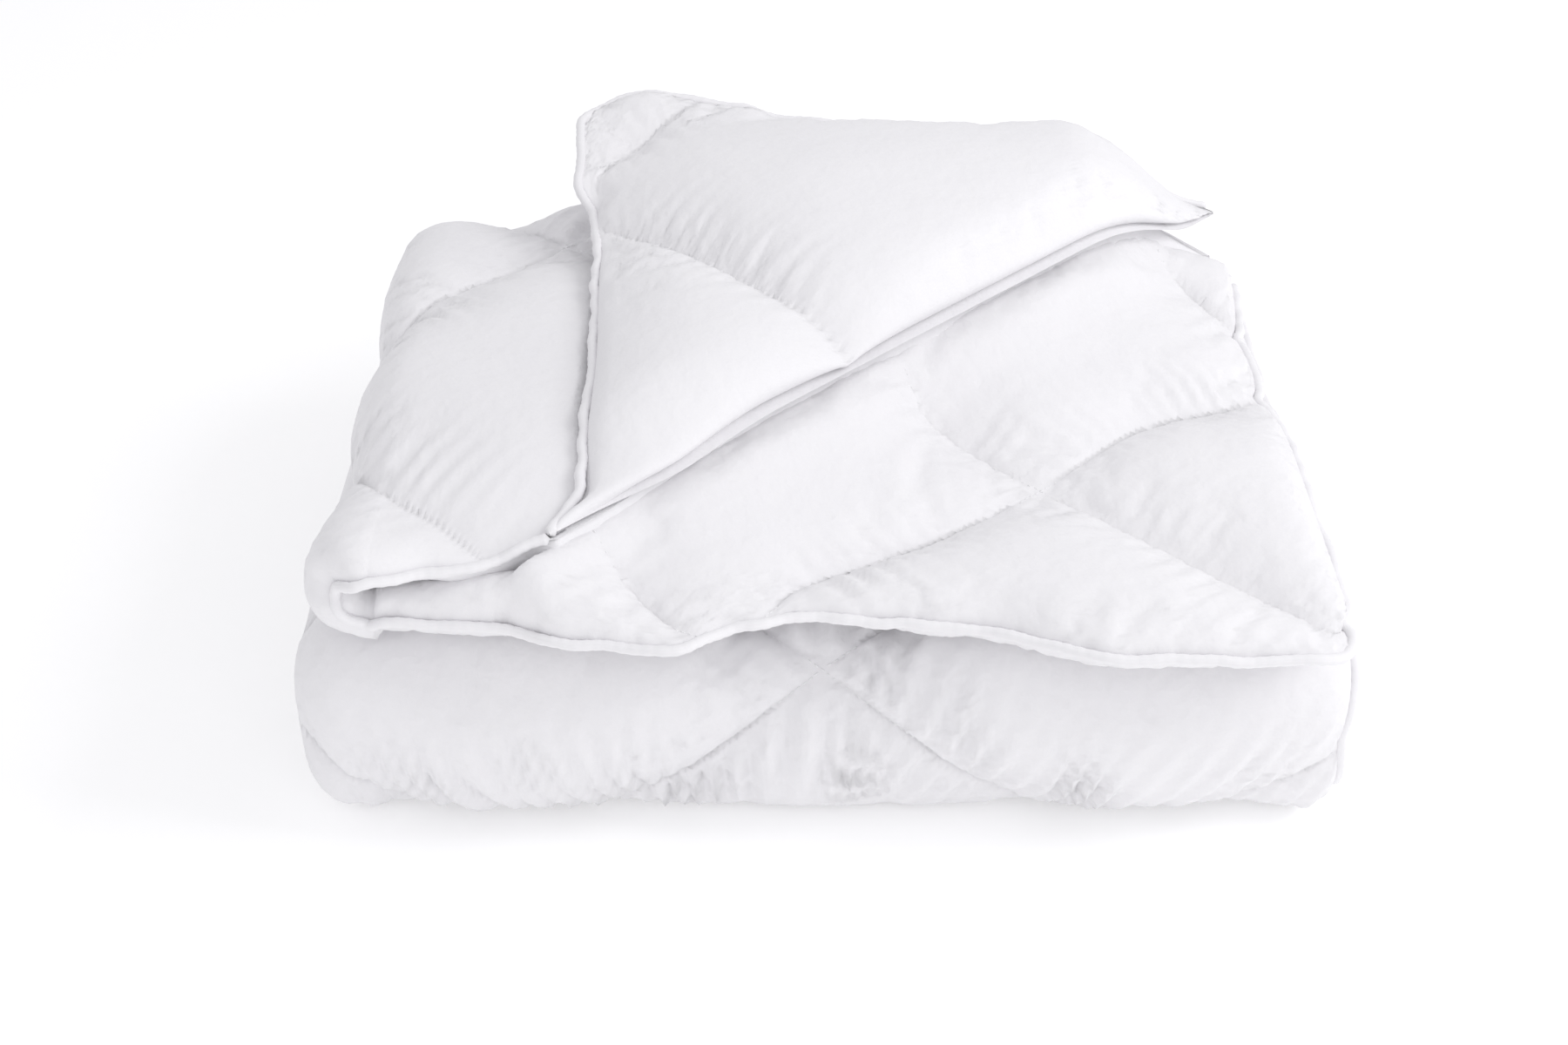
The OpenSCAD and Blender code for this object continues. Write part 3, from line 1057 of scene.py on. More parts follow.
@dataclass
class TopSheet:
    """The top of the stack: the under layer, the fold down the left side and the over layer."""

    step: float = 0.0043
    turn_radius: float = 0.0240
    turn_cloth: float = 0.104
    edge_draw: float = 0.055
    edge_radius: float = 0.024
    length: float = 0.534
    corner: float = 0.030
    shown_lift: float = 0.007
    fold_lift: float = 0.027
    roll_lift: float = 0.009
    roll_out: float = 0.007
    over_room: float = 0.020
    lines: QuiltLines = QuiltLines(cross=(0.150, 0.194), seed=41, no_falling=(-2,))
    cloth: ClothSettings = ClothSettings(fullness=0.018, bending=0.3, cap=0.008, seed=7)
    front_knots: tuple[tuple[float, float], ...] = (
        (-0.520, 0.000), (-0.438, -0.020), (-0.396, -0.036), (-0.344, 0.008), (-0.292, 0.042),
        (-0.215, 0.036), (-0.160, 0.018), (-0.103, 0.012), (-0.055, 0.038), (-0.020, 0.048),
        (0.030, 0.042), (0.082, 0.035), (0.188, 0.002), (0.340, 0.000),
    )

    @property
    def under_z(self) -> float:
        """Height of the under layer's centre."""
        return (STACK.middle_top + STACK.under_top) / 2.0 + 0.003

    @property
    def over_z(self) -> float:
        """Height of the over layer's centre."""
        return self.under_z + 2.0 * self.turn_radius

    def grid(self) -> TopGrid:
        """Lays the cloth's grid along the under layer, round the turn and along the over layer.

        Returns:
            The grid. On the turn the centre is a half circle of the share of the turn's cloth that
            has passed. The front edge follows the front knots, the corners are quarter circles, and
            the right edge is drawn in at the back.
        """
        rows = close_spaced(int(self.length / self.step), 0.8, 0.6)
        t_row = rows * self.length
        flat = int((STACK.top_edge - STACK.top_flat) / self.step)
        turn = int(self.turn_cloth / self.step * 1.1)
        edge_puff = self.lines.puff(np.full_like(t_row, STACK.top_edge), t_row)
        right = STACK.top_edge + 0.005 - 0.016 * (1.0 - edge_puff) ** 2
        right = right + 0.005 * ease((0.10 - t_row) / 0.1)
        over_end = np.clip(t_row + STACK.fold_start_x, STACK.fold_start_x, STACK.top_edge - 0.003)
        a = close_spaced(flat, 0.8, 0.0)
        c = close_spaced(int(flat * 0.80), 0.0, 0.8)
        s_under = right + a[:, None] * (STACK.top_flat - right)
        s_turn = STACK.top_flat - (np.arange(1, turn) / turn)[:, None] * self.turn_cloth
        s_turn = np.broadcast_to(s_turn, (turn - 1, len(t_row)))
        s_start = STACK.top_flat - self.turn_cloth
        s_over = s_start - c[:, None] * (over_end - STACK.top_flat)
        s = np.concatenate([s_under, s_turn, s_over])
        first, last = s[0].copy(), s[-1].copy()
        t = np.broadcast_to(t_row, s.shape).copy()
        s, on_seam = snap_to_seams(s, t, self.lines)
        s[0], s[-1] = first, last
        part = np.clip((STACK.top_flat - s) / self.turn_cloth, 0.0, 1.0)
        round_half = part * math.pi
        on_over = part >= 1.0
        x = np.where(
            on_over,
            STACK.top_flat + (s_start - s),
            np.where(part > 0.0, STACK.top_flat - self.turn_radius * np.sin(round_half), s),
        )
        z = (self.under_z + self.over_z) / 2.0 - self.turn_radius * np.cos(round_half)
        pull = curve_through(self.front_knots, s)
        near_corner = np.clip(1.0 - (first[None, :] - s) / self.corner, 0.0, 0.998)
        arc = self.corner * (1.0 - np.sqrt(1.0 - near_corner**2))
        front_y = STACK.top_front + (STACK.over_front - STACK.top_front) * part
        y = front_y + t + pull * (1.0 - ease(t / 0.20)) + arc * (1.0 - ease(t / 0.10))
        drawn = ease((s - 0.20) / 0.14) * ease((t - 0.17) / 0.17) * ease((0.50 - t) / 0.13)
        y = y - self.edge_draw * drawn
        to_fold = (over_end[None, :] - (STACK.top_flat + s_start - s)) * ROOT_HALF
        return TopGrid(
            s, t, on_seam, part, np.stack([x, y, z], axis=-1), front_y, first, s_start - s,
            np.where(on_over, to_fold, 1.0),
        )

    def padded(self, grid: TopGrid) -> PaddedSheet:
        """Pads the grid.

        Args:
            grid: Where the cloth lies.

        Returns:
            The sheet. Where the under layer shows, its upper side rises towards the corner's fold
            by two bell curves of the distance, so that it meets the roll. The over layer is held
            near its full height along the fold, and both thin out on the turn.
        """
        s, t, part, on_over, under = grid.s, grid.t, grid.part, grid.on_over, grid.under
        x, y = grid.centre[..., 0], grid.centre[..., 1]
        under_z, over_z = self.under_z, self.over_z
        away = np.stack([-np.sin(part * math.pi), np.zeros_like(x), -np.cos(part * math.pi)], axis=-1)
        from_right = grid.right[None, :] - s
        free_edge = t > self.length - 0.030
        fold_rim = round_edge(grid.to_fold, 0.024)
        rim = (
            np.where(on_over, fold_rim, round_edge(from_right, self.edge_radius))
            * round_edge(t, self.edge_radius)
            * round_edge(self.length - t, 0.006)
        )
        from_fold = grid.from_fold()
        visible = ease((from_fold + 0.026) / 0.030)
        lip = ease((x + 0.325) / 0.04) * ease((STACK.top_front + 0.085 - y) / 0.05)
        visible = np.maximum(visible, 0.9 * lip) * under
        half_out = np.where(on_over, STACK.over_top - over_z, under_z - STACK.middle_top - 0.0002)
        half_out = half_out + (self.turn_radius - half_out) * (part > 0.0) * ~on_over
        half_in = np.where(on_over, over_z - STACK.under_top - 0.0004, STACK.under_top - under_z)
        along_over = np.where(on_over, grid.along_over / 0.07, 0.0)
        thin = np.where(on_over, 1.0 - ease(along_over), ease(part * 6.0))
        half_in = half_in + (0.015 - half_in) * thin
        near_fold, at_roll = (np.exp(-((from_fold / width) ** 2)) * under for width in (0.07, 0.034))
        half_in = half_in + self.shown_lift * visible
        half_in = half_in + (self.fold_lift * near_fold + self.roll_lift * at_roll) * visible
        at_fold = np.where(on_over & ~free_edge, 1.0 - ease(grid.to_fold / 0.036), 0.0)
        front_lift = (1.0 - ease(t / 0.06)) * under * ease(from_right / 0.06 + 0.4)
        shift = at_fold * (half_out - 0.002) - 0.005 * front_lift
        bulge = np.sin(math.pi * fold_rim) * on_over * ~free_edge * self.roll_out
        valley_in = 0.5 - 0.40 * visible * (1.0 - 0.8 * near_fold) + 0.55 * at_roll * visible
        sheet = PaddedSheet(
            "top_sheet", self.lines, s, t, grid.centre, away, half_out, half_in, shift, rim,
            valley_out=np.where(part > 0.0, 0.16, 0.5),
            valley_in=np.where(on_over, 1.0, valley_in),
            pucker_out=np.where(part > 0.0, 0.0015, 0.0006),
            pucker_in=0.0005 + 0.0011 * visible,
            rim_out=np.where(part > 0.0, rim, rim * round_edge(t, 0.055)),
            overhang=bulge[..., None] * np.array([ROOT_HALF, -ROOT_HALF, 0.0]),
            on_seam=grid.on_seam,
            marks={"over": on_over, "turn": (part > 0.25) & ~on_over, "shown": visible},
        )
        sheet.lay()
        return sheet

    def sheet(self) -> PaddedSheet:
        """The padded sheet, settled where it shows, pressed where it rests and bent at the back."""
        grid = self.grid()
        sheet = self.padded(grid)
        x, on_over, under = grid.centre[..., 0], grid.on_over, grid.under
        visible = sheet.marks["shown"]
        shown_over = on_over & (x < STACK.fold_start_x + 0.04)
        front_puffs = ease((0.05 - grid.t) / 0.05) * under
        free = shown_over | (grid.part > 0.0) & ~on_over | (front_puffs > 0.2)
        sheet.settle(Side.OUTER, self.cloth, free)
        sheet.settle(Side.INNER, self.cloth, visible > 0.05)
        out_z, in_z = sheet.outer[..., 2], sheet.inner[..., 2]
        out_z[:] = np.where(under, np.maximum(out_z, STACK.middle_top + 0.0002), out_z)
        in_z[:] = np.where(under & (visible < 0.02), np.minimum(in_z, STACK.under_top), in_z)
        room = self.over_room * (1.0 - ease((x - STACK.fold_start_x + 0.012) / 0.030))
        out_z[:] = np.where(on_over, np.minimum(out_z, STACK.over_top + room), out_z)
        start = STACK.back - (STACK.over_top - STACK.middle_top)
        length = np.clip(grid.front_y + self.length - start, 0.01, None)
        sheet.map_all(sink_tip)
        sheet.map_all(BackTurn(start, length, True))
        return sheet


@dataclass
class TurnedCorner:
    """The corner of the over layer that is turned back, so that the reverse shows."""

    step: float = 0.0041
    columns: int = 132
    edge_radius: float = 0.024
    corner: float = 0.045
    half: float = 0.023
    crown: float = 0.016
    height: float = 0.0705
    roll_reach: float = 0.058
    roll_out: float = 0.017
    lines: QuiltLines = QuiltLines(
        cross=(-0.207, 0.170), seed=61, no_falling=(1,), no_rising=(-1,)
    )
    cloth: ClothSettings = ClothSettings(fullness=0.04, cap=0.009, seed=9)
    left_edge: tuple[tuple[float, float], ...] = (
        (-0.230, -0.178), (-0.185, -0.161), (-0.09, -0.160), (0.087, -0.167), (0.160, -0.176),
        (0.190, -0.189), (0.310, -0.192),
    )
    left_height: tuple[tuple[float, float], ...] = (
        (-0.230, 0.002), (-0.100, 0.012), (0.165, 0.016), (0.195, 0.036), (0.310, 0.052),
    )
    back_height: tuple[tuple[float, float], ...] = (
        (-0.200, 0.052), (-0.143, 0.057), (-0.065, 0.045), (-0.030, 0.034), (0.100, 0.022),
        (0.340, 0.016),
    )

    def sheet(self) -> PaddedSheet:
        """The padded sheet, its upper cover settled by simulation.

        Returns:
            The sheet. Its left and rear rims stand at the heights given, its fold rim lies at the
            foot and rolls out past the fold line by a sine of the rim's rounding, and its crown
            rises by eased shares of the distances from all three.
        """
        low_z = STACK.corner_base
        rows = close_spaced(int((STACK.corner_back - STACK.over_front) / self.step), 0.7, 0.8)
        y_row = STACK.over_front + rows * (STACK.corner_back - STACK.over_front)
        u = close_spaced(self.columns, 0.8, 0.8)
        start = curve_through(self.left_edge, y_row)
        end = y_row + STACK.fold_offset + 0.003
        end = end - 0.012 * ease((y_row - 0.22) / 0.06)
        end[-1] = end[-2]
        end = np.maximum(end, start + 0.002)
        x = start + u[:, None] * (end - start)[None, :]
        y = np.broadcast_to(y_row, x.shape).copy()
        first, last = x[0].copy(), x[-1].copy()
        x, on_seam = snap_to_seams(x, y, self.lines)
        x[0], x[-1] = first, last
        s, t = x.copy(), y.copy()
        near_corner = np.clip(1.0 - (x - start[None, :]) / self.corner, 0.0, 0.985)
        arc = self.corner * (1.0 - np.sqrt(1.0 - near_corner**2))
        back = STACK.corner_back - y
        y = y + 0.014 * ease((y - 0.12) / 0.16) * (1.0 - ease((x + 0.02) / 0.16))
        y = y - arc * (1.0 - ease(back / 0.13))
        to_fold = (end[None, :] - x) * ROOT_HALF
        from_left = x - start[None, :]
        reach = np.clip((end - start) * 0.45, 0.002, self.edge_radius)
        fold_rim = round_edge(to_fold, self.roll_reach) ** 0.9
        slope = 1.0 - (1.0 - np.clip(from_left / (reach * 4.2)[None, :], 0.0, 1.0)) ** 2
        rim = (
            (0.30 * round_edge(from_left / reach[None, :], 0.6) + 0.70 * slope)
            * round_edge(back, self.edge_radius)
            * fold_rim
            * round_edge(t - STACK.over_front, 0.02)
        )
        room = ease(from_left / 0.20) * ease(to_fold / 0.16) * ease(back / 0.15)
        centre = np.stack([x, y, np.full_like(x, low_z + self.half)], axis=-1)
        away = np.zeros_like(centre)
        away[..., 2] = 1.0
        left = 1.0 - ease(from_left / 0.06)
        rear = (1.0 - ease(back / 0.07)) * (1.0 - left)
        fold = (1.0 - ease(to_fold / 0.042)) * (1.0 - left) * (1.0 - rear * 0.5)
        shift = (
            left * (curve_through(self.left_height, t) - self.half)
            + rear * (curve_through(self.back_height, x) - self.half)
            - fold * (self.half - 0.002)
        )
        half_in = np.full(x.shape, self.half)
        half_out = np.maximum(self.half + self.crown * room, shift + 0.014)
        bulge = np.sin(math.pi * fold_rim) * self.roll_out * ease((t - STACK.over_front) / 0.08)
        overhang = bulge[..., None] * np.array([ROOT_HALF, -ROOT_HALF, 0.0])
        sheet = PaddedSheet(
            "turned_corner", self.lines, s, t, centre, away, half_out, half_in, shift, rim,
            valley_out=0.20, valley_in=0.8, pucker_out=0.0011, pucker_in=0.0003,
            overhang=overhang, on_seam=on_seam,
        )
        sheet.lay()
        sheet.settle(Side.OUTER, self.cloth, np.ones(x.shape, bool))
        sheet.keep_between(Side.OUTER, low_z, low_z + self.height)
        sheet.keep_between(Side.INNER, low_z, 1.0)
        sheet.map_all(sink_tip)
        return sheet


# ---------------------------------------------------------------- finishes


class Slot(Enum):
    """The record's material slots."""

    FACE = "face_cloth"
    REVERSE = "reverse_cloth"
    PIPING = "piping"
    THREAD = "thread"


Value = bpy.types.NodeSocket | float


class NodeGraph:
    """A small helper that adds and joins shader nodes."""

    def __init__(self, tree: bpy.types.NodeTree) -> None:
        """Keeps the tree to build in."""
        self.tree = tree

    def add(self, kind: str, **settings: object) -> bpy.types.Node:
        """Adds a node.

        Args:
            kind: The node's type.
            settings: Properties to set on it.

        Returns:
            The node.
        """
        node = self.tree.nodes.new(kind)
        for key, value in settings.items():
            setattr(node, key, value)
        return node

    def put(self, socket: bpy.types.NodeSocket, value: Value) -> None:
        """Joins another socket to an input, or sets its value.

        Args:
            socket: The input.
            value: The other socket, or the value.
        """
        if isinstance(value, bpy.types.NodeSocket):
            self.tree.links.new(value, socket)
        else:
            socket.default_value = value

    def maths(self, operation: str, *values: Value) -> bpy.types.NodeSocket:
        """Adds a Math node.

        Args:
            operation: What it works out.
            values: Its inputs.

        Returns:
            Its result.
        """
        node = self.add("ShaderNodeMath", operation=operation)
        for socket, value in zip(node.inputs, values):
            self.put(socket, value)
        return node.outputs[0]

    def noise(self, vector: bpy.types.NodeSocket, scale: float, detail: float) -> Value:
        """Adds a Noise Texture node.

        Args:
            vector: Where it is read.
            scale: How fine it is.
            detail: How many finer layers it has.

        Returns:
            Its value.
        """
        node = self.add("ShaderNodeTexNoise")
        self.put(node.inputs["Vector"], vector)
        self.put(node.inputs["Scale"], scale)
        self.put(node.inputs["Detail"], detail)
        return node.outputs["Fac"]


def cloth_group() -> bpy.types.NodeTree:
    """The group that every cloth uses: woven relief, soft creases and a slight change of tone.

    The weave is the product of two sines of the cloth's own lengths. The creases are two noises.

    Returns:
        The group, made once.
    """
    found = bpy.data.node_groups.get("cloth relief")
    if found is not None:
        return found
    tree = bpy.data.node_groups.new("cloth relief", "ShaderNodeTree")
    face = tree.interface
    face.new_socket("Lengths", in_out="INPUT", socket_type="NodeSocketVector")
    face.new_socket("Place", in_out="INPUT", socket_type="NodeSocketVector")
    for name in ("Threads", "Weave", "Crease"):
        face.new_socket(name, in_out="INPUT", socket_type="NodeSocketFloat")
    face.new_socket("Height", in_out="OUTPUT", socket_type="NodeSocketFloat")
    face.new_socket("Tone", in_out="OUTPUT", socket_type="NodeSocketFloat")
    graph = NodeGraph(tree)
    given, result = graph.add("NodeGroupInput"), graph.add("NodeGroupOutput")
    split = graph.add("ShaderNodeSeparateXYZ")
    graph.put(split.inputs[0], given.outputs["Lengths"])
    turns = graph.maths("MULTIPLY", given.outputs["Threads"], 2.0 * math.pi)
    waves = [
        graph.maths("SINE", graph.maths("MULTIPLY", split.outputs[k], turns)) for k in (0, 1)
    ]
    weave = graph.maths("MULTIPLY", *waves)
    fuzz = graph.noise(given.outputs["Place"], 900.0, 2.0)
    weave = graph.maths("ADD", weave, graph.maths("MULTIPLY", fuzz, 1.5))
    weave = graph.maths("MULTIPLY", weave, given.outputs["Weave"])
    large = graph.noise(given.outputs["Place"], 38.0, 3.0)
    small = graph.noise(given.outputs["Place"], 120.0, 2.0)
    crease = graph.maths("ADD", large, graph.maths("MULTIPLY", small, 0.35))
    crease = graph.maths("MULTIPLY", crease, given.outputs["Crease"])
    graph.put(result.inputs["Height"], graph.maths("ADD", weave, crease))
    patches = graph.noise(given.outputs["Place"], 7.0, 3.0)
    fine = graph.maths("MULTIPLY", fuzz, 0.3)
    tone = graph.maths("ADD", graph.maths("MULTIPLY", patches, 0.7), fine)
    graph.put(result.inputs["Tone"], tone)
    return tree


@dataclass(frozen=True)
class ClothFinish:
    """White brushed microfibre."""

    name: str
    slot: Slot
    light: tuple[float, float, float] = (0.836, 0.828, 0.843)
    dark: tuple[float, float, float] = (0.806, 0.798, 0.816)
    threads: float = 1100.0
    weave: float = 0.00003
    crease: float = 0.0022
    sheen: float = 0.25
    roughness: float = 0.82

    def material(self) -> bpy.types.Material:
        """The material, made once.

        Returns:
            The material: a ramp of the tone colours it, and the relief goes through a bump.
        """
        found = bpy.data.materials.get(self.name)
        if found is not None:
            return found
        material = bpy.data.materials.new(self.name)
        material.use_nodes = True
        graph = NodeGraph(material.node_tree)
        shader = material.node_tree.nodes["Principled BSDF"]
        place = graph.add("ShaderNodeTexCoord")
        fabric = graph.add("ShaderNodeUVMap", uv_map="fabric")
        relief = graph.add("ShaderNodeGroup", node_tree=cloth_group())
        graph.put(relief.inputs["Lengths"], fabric.outputs["UV"])
        graph.put(relief.inputs["Place"], place.outputs["Object"])
        graph.put(relief.inputs["Threads"], self.threads)
        graph.put(relief.inputs["Weave"], self.weave)
        graph.put(relief.inputs["Crease"], self.crease)
        ramp = graph.add("ShaderNodeValToRGB")
        ramp.color_ramp.elements[0].position, ramp.color_ramp.elements[1].position = 0.3, 0.7
        ramp.color_ramp.elements[0].color = (*self.dark, 1.0)
        ramp.color_ramp.elements[1].color = (*self.light, 1.0)
        graph.put(ramp.inputs["Fac"], relief.outputs["Tone"])
        graph.put(shader.inputs["Base Color"], ramp.outputs["Color"])
        rough = graph.maths("MULTIPLY", relief.outputs["Tone"], 0.16)
        graph.put(shader.inputs["Roughness"], graph.maths("ADD", rough, self.roughness - 0.08))
        bump = graph.add("ShaderNodeBump")
        graph.put(bump.inputs["Strength"], 0.8)
        graph.put(bump.inputs["Distance"], 1.0)
        graph.put(bump.inputs["Height"], relief.outputs["Height"])
        graph.put(shader.inputs["Normal"], bump.outputs["Normal"])
        shader.inputs["Sheen Weight"].default_value = self.sheen
        shader.inputs["Sheen Roughness"].default_value = 0.45
        shader.inputs["Specular IOR Level"].default_value = 0.25
        return material

    def dress(self, obj: bpy.types.Object) -> None:
        """Puts the material on a piece."""
        obj.data.materials.append(self.material())


FACE_CLOTH = ClothFinish("face microfibre", Slot.FACE)
REVERSE_CLOTH = ClothFinish("reverse microfibre", Slot.REVERSE)
PIPING_CLOTH = ClothFinish(
    "piping cloth", Slot.PIPING, threads=900.0, weave=0.00004, crease=0.0008, roughness=0.78
)
THREAD_FINISH = ClothFinish(
    "quilting thread", Slot.THREAD, light=(0.86, 0.86, 0.87), dark=(0.80, 0.80, 0.81),
    weave=0.00002, crease=0.0001, sheen=0.1, roughness=0.55,
)


# ---------------------------------------------------------------- the duvet


@dataclass
class Duvet:
    """The whole duvet, piece by piece."""

    piping: Piping = Piping()
    thread: Thread = Thread()
    layer_top: float = STACK.base_top * 1.53
    turn_start: float = STACK.back - 0.084
    outer_turn: float = 0.033
    inner_turn: float = 0.097
    band_heights: tuple[float, float] = (0.150, 0.178)
    back_line: Array = field(init=False)

    def finish(
        self, obj: bpy.types.Object, cloth: ClothFinish, bodies: tuple[str, ...], *nodes: str
    ) -> None:
        """Dresses a piece, puts it on its body if it has one, and hides the nodes that it stands for.

        Args:
            obj: The piece.
            cloth: Its finish.
            bodies: One body, or two round the front fold, in which case it is put on no body and its
                place is baked into the mesh.
            nodes: The nodes that it stands for, which are hidden.
        """
        cloth.dress(obj)
        if len(bodies) == 2:
            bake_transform(obj)
        else:
            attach(obj, bodies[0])
        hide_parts(*nodes)
        LOG.info("%s: %d faces", obj.name, len(obj.data.polygons))

    def pad(
        self, sheet: PaddedSheet, fill: float, cloth: ClothFinish, bodies: tuple[str, ...],
        *nodes: str,
    ) -> None:
        """Makes and finishes one padded piece.

        Args:
            sheet: The sheet.
            fill: How tight its filling is, from 0 to 1. Not used.
            cloth: Its finish.
            bodies: Its body or bodies.
            nodes: The nodes that it stands for.
        """
        obj = sheet.build()
        self.finish(obj, cloth, bodies, *nodes)

    def pipe(
        self, name: str, edge: tuple[Array, Array], bodies: tuple[str, ...], *nodes: str
    ) -> None:
        """Makes and finishes the piping along one edge."""
        self.finish(self.piping.along(name, *edge), PIPING_CLOTH, bodies, *nodes)

    def stitch(
        self, name: str, runs: list[tuple[Array, Array]], bodies: tuple[str, ...], *nodes: str
    ) -> None:
        """Makes and finishes the stitches along the seams of one sheet."""
        self.finish(self.thread.stitches(name, runs), THREAD_FINISH, bodies, *nodes)

    def make_front(self) -> None:
        """The outer layer round the front, which crosses the front fold."""
        sheet = FrontWrap().sheet()
        turn = BackTurn(self.turn_start, self.outer_turn, False)
        upper = sheet.centre[..., 2] > STACK.base_top
        sheet.map_all(lambda surface: np.where(upper[..., None], turn(surface), surface))
        both = ("base", "middle")
        self.pad(
            sheet, 0.8, FACE_CLOTH, both,
            "base_face_cover", "base_lower_filling", "middle_face_cover", "middle_upper_filling",
        )
        n, m = sheet.s.shape
        rows = np.arange(1, m - 1)
        self.pipe("front_piping", edge_path(sheet, (n - 1, rows)), both, "middle_piping")
        edge = edge_path(sheet, (np.arange(3, n - 1), 0))
        self.pipe("base_back_piping", edge, ("base",), "base_piping")
        shown = (sheet.centre[..., 1] < -0.15) & (sheet.rim > 0.45)
        shown[:, : m // 2] &= sheet.outer[:, : m // 2, 2] > 0.012
        self.stitch(
            "front_stitches", sheet.seams_on(Side.OUTER, shown), both,
            "base_front_stitching", "middle_front_stitching",
        )

    def make_inner_layers(self) -> None:
        """The inner layers of the base and the middle."""
        front = STACK.front + 0.0425
        base = InnerLayer(
            "base_inner", STACK.base_top / 2.0 + 0.0005, STACK.base_top - 0.0004, front,
            STACK.base_end, QuiltLines(cross=(-0.10, 0.06), seed=81), True,
        ).sheet()
        self.pad(
            base, 0.6, REVERSE_CLOTH, ("base",),
            "base_upper_filling", "base_reverse_cover", "base_side_fold",
        )
        n, m = base.s.shape
        edge = edge_path(base, (n - 1, np.arange(1, m - 1)), (np.arange(n - 1, 2, -1), m - 1))
        self.pipe("base_inner_piping", edge, ("base",))
        middle = InnerLayer(
            "middle_inner", STACK.base_top + 0.0004, self.layer_top, front,
            self.turn_start + self.inner_turn, QuiltLines(cross=(0.08, 0.02), seed=91), False,
        ).sheet()
        middle.map_all(BackTurn(self.turn_start, self.inner_turn, False))
        self.pad(
            middle, 0.6, REVERSE_CLOTH, ("middle",),
            "middle_lower_filling", "middle_reverse_cover", "middle_side_fold",
        )
        n, m = middle.s.shape
        edge = edge_path(middle, (n - 1, np.arange(1, m - 1)))
        self.pipe("middle_inner_piping", edge, ("middle",))
        off = np.abs(middle.outer[n // 2, :, 2] - self.band_heights[0])
        self.back_line = middle.outer[4:-4, np.argmin(off)]

    def make_back_band(self, sheet: PaddedSheet) -> None:
        """The strip of cover over the back fold.

        Args:
            sheet: The top sheet. The strip runs to the row of its over layer at the upper height.
        """
        over = sheet.outer[sheet.marks["over"][:, 0]]
        off = np.abs(over[20, :, 2] - self.band_heights[1])
        line = over[:-4, np.argmin(off)]
        band = fold_band("back_fold_band", self.back_line, line, 0.0012, 0.008)
        FACE_CLOTH.dress(band)
        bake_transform(band)
        LOG.info("%s: %d faces", band.name, len(band.data.polygons))

    def make_top(self) -> None:
        """The top of the stack with the fold down its left side."""
        sheet = TopSheet().sheet()
        body = ("top",)
        self.pad(
            sheet, 0.75, FACE_CLOTH, body,
            "under_face_cover", "under_reverse_cover", "under_filling", "over_face_cover",
            "over_reverse_cover", "over_filling", "top_side_fold",
        )
        self.make_back_band(sheet)
        n, m = sheet.s.shape
        edge = edge_path(sheet, (0, np.arange(m - 2, 0, -1)), (np.arange(0, n - 1), 0))
        self.pipe("under_piping_edge", edge, body, "under_piping")
        tail = np.flatnonzero(sheet.t[0] + STACK.fold_start_x > STACK.top_edge - 0.001)
        self.pipe("over_piping_edge", edge_path(sheet, (n - 1, tail[:-1])), body, "over_piping")
        raised = sheet.rim > 0.4
        shown = sheet.seams_on(Side.INNER, (sheet.marks["shown"] > 0.35) & raised)
        self.stitch("under_stitches", shown, body, "under_stitching")
        over = sheet.marks["over"] & (sheet.centre[..., 0] < STACK.fold_start_x + 0.01)
        over = (over | sheet.marks["turn"]) & raised
        self.stitch("over_stitches", sheet.seams_on(Side.OUTER, over), body, "over_stitching")

    def make_corner(self) -> None:
        """The turned-back corner."""
        sheet = TurnedCorner().sheet()
        body = ("corner",)
        self.pad(
            sheet, 0.85, REVERSE_CLOTH, body,
            "corner_face_cover", "corner_reverse_cover", "corner_filling",
        )
        n, m = sheet.s.shape
        edge = edge_path(sheet, (0, np.arange(1, m - 1)), (np.arange(0, n - 1), m - 1))
        self.pipe("corner_piping_edge", edge, body, "corner_piping")
        seams = sheet.seams_on(Side.OUTER, sheet.rim > 0.45)
        self.stitch("corner_stitches", seams, body, "corner_stitching")


# ---------------------------------------------------------------- the studio


Place = tuple[float, float, float]


@dataclass(frozen=True)
class SoftLight:
    """A square area light that points at a place."""

    name: str
    place: Place
    aim: Place
    size: float
    power: float

    def build(self) -> None:
        """Makes the light."""
        lamp = bpy.data.lights.new(self.name, "AREA")
        lamp.shape = "SQUARE"
        lamp.size = self.size
        lamp.energy = self.power
        obj = bpy.data.objects.new(self.name, lamp)
        bpy.context.scene.collection.objects.link(obj)
        obj.location = self.place
        way = Vector(self.aim) - Vector(self.place)
        obj.rotation_euler = way.to_track_quat("-Z", "Y").to_euler()


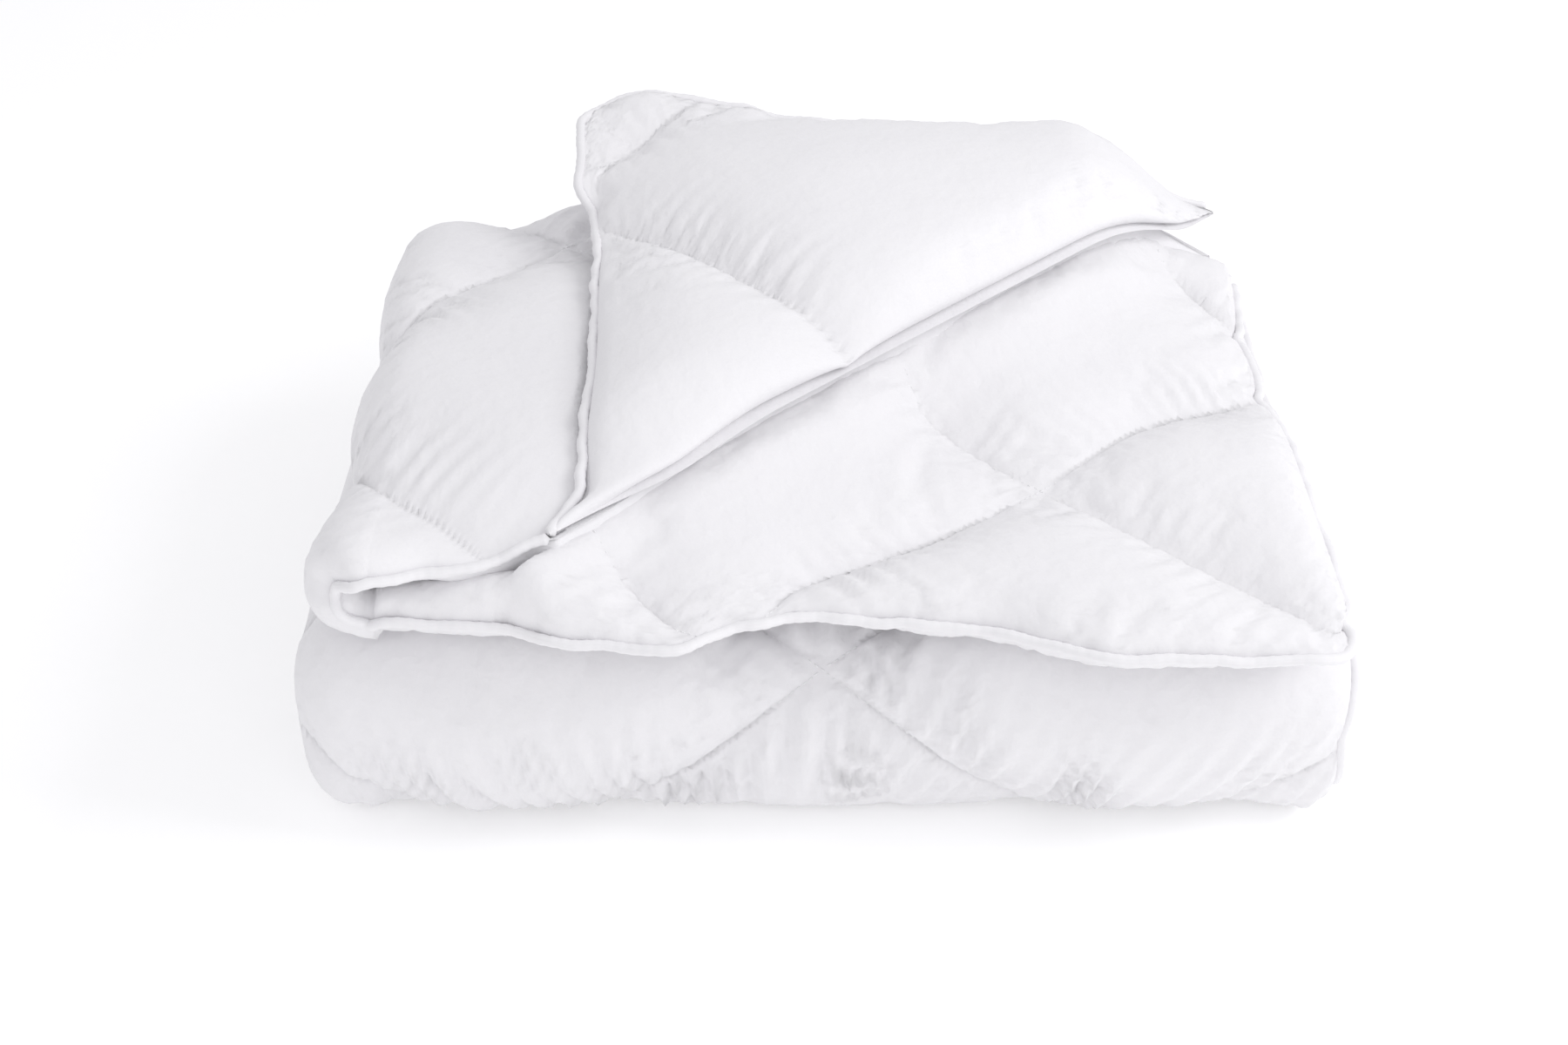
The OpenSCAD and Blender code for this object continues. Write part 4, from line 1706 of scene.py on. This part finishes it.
@dataclass
class Studio:
    """A pale floor, soft light from the upper right and the camera."""

    camera_place: Place = (-0.0296, -1.3711, 1.0392)
    camera_tilt: float = 55.5
    lens: float = 50.0
    floor_half: float = 6.0
    floor_drop: float = 0.0004
    floor_glow: float = 0.17
    world_colour: Place = (0.980, 0.978, 1.0)
    world_strength: float = 0.79
    lights: tuple[SoftLight, ...] = (
        SoftLight("key", (1.5, -0.25, 1.6), (0.0, 0.0, 0.15), 1.0, 14.0),
        SoftLight("front", (0.5, -2.2, 1.5), (0.0, 0.0, 0.1), 1.6, 7.0),
    )

    def floor(self) -> None:
        """A wide floor just under the duvet."""
        side = np.array([[-1, -1, 0], [1, -1, 0], [1, 1, 0], [-1, 1, 0]]) * self.floor_half
        side[:, 2] = -self.floor_drop
        floor = new_object("floor", side, np.array([[0, 1, 2, 3]]))
        material = bpy.data.materials.new("pale floor")
        material.use_nodes = True
        graph = NodeGraph(material.node_tree)
        shader = material.node_tree.nodes["Principled BSDF"]
        shader.inputs["Base Color"].default_value = (0.97, 0.97, 0.97, 1.0)
        shader.inputs["Emission Color"].default_value = (1.0, 1.0, 1.0, 1.0)
        shader.inputs["Emission Strength"].default_value = self.floor_glow
        place = graph.add("ShaderNodeTexCoord")
        rough = graph.maths("MULTIPLY", graph.noise(place.outputs["Object"], 5.0, 2.0), 0.1)
        graph.put(shader.inputs["Roughness"], graph.maths("ADD", rough, 0.85))
        floor.data.materials.append(material)

    def camera(self) -> None:
        """The camera."""
        data = bpy.data.cameras.new("camera")
        data.lens = self.lens
        data.clip_start = 0.05
        obj = bpy.data.objects.new("camera", data)
        bpy.context.scene.collection.objects.link(obj)
        obj.location = self.camera_place
        obj.rotation_euler = (math.radians(self.camera_tilt), 0.0, 0.0)
        bpy.context.scene.camera = obj

    def build(self) -> None:
        """Everything round the duvet."""
        scene = bpy.context.scene
        self.floor()
        self.camera()
        for light in self.lights:
            light.build()
        world = bpy.data.worlds.new("studio")
        world.use_nodes = True
        back = world.node_tree.nodes["Background"]
        back.inputs[0].default_value = (*self.world_colour, 1.0)
        back.inputs[1].default_value = self.world_strength
        scene.world = world
        scene.view_settings.view_transform = "Standard"


def main() -> None:
    """Builds the duvet and the studio."""
    logging.basicConfig(level=logging.INFO, format="%(name)s: %(message)s")
    Studio().build()
    duvet = Duvet()
    duvet.make_front()
    duvet.make_inner_layers()
    duvet.make_top()
    duvet.make_corner()
    bpy.context.view_layer.update()


if __name__ == "__main__":
    main()
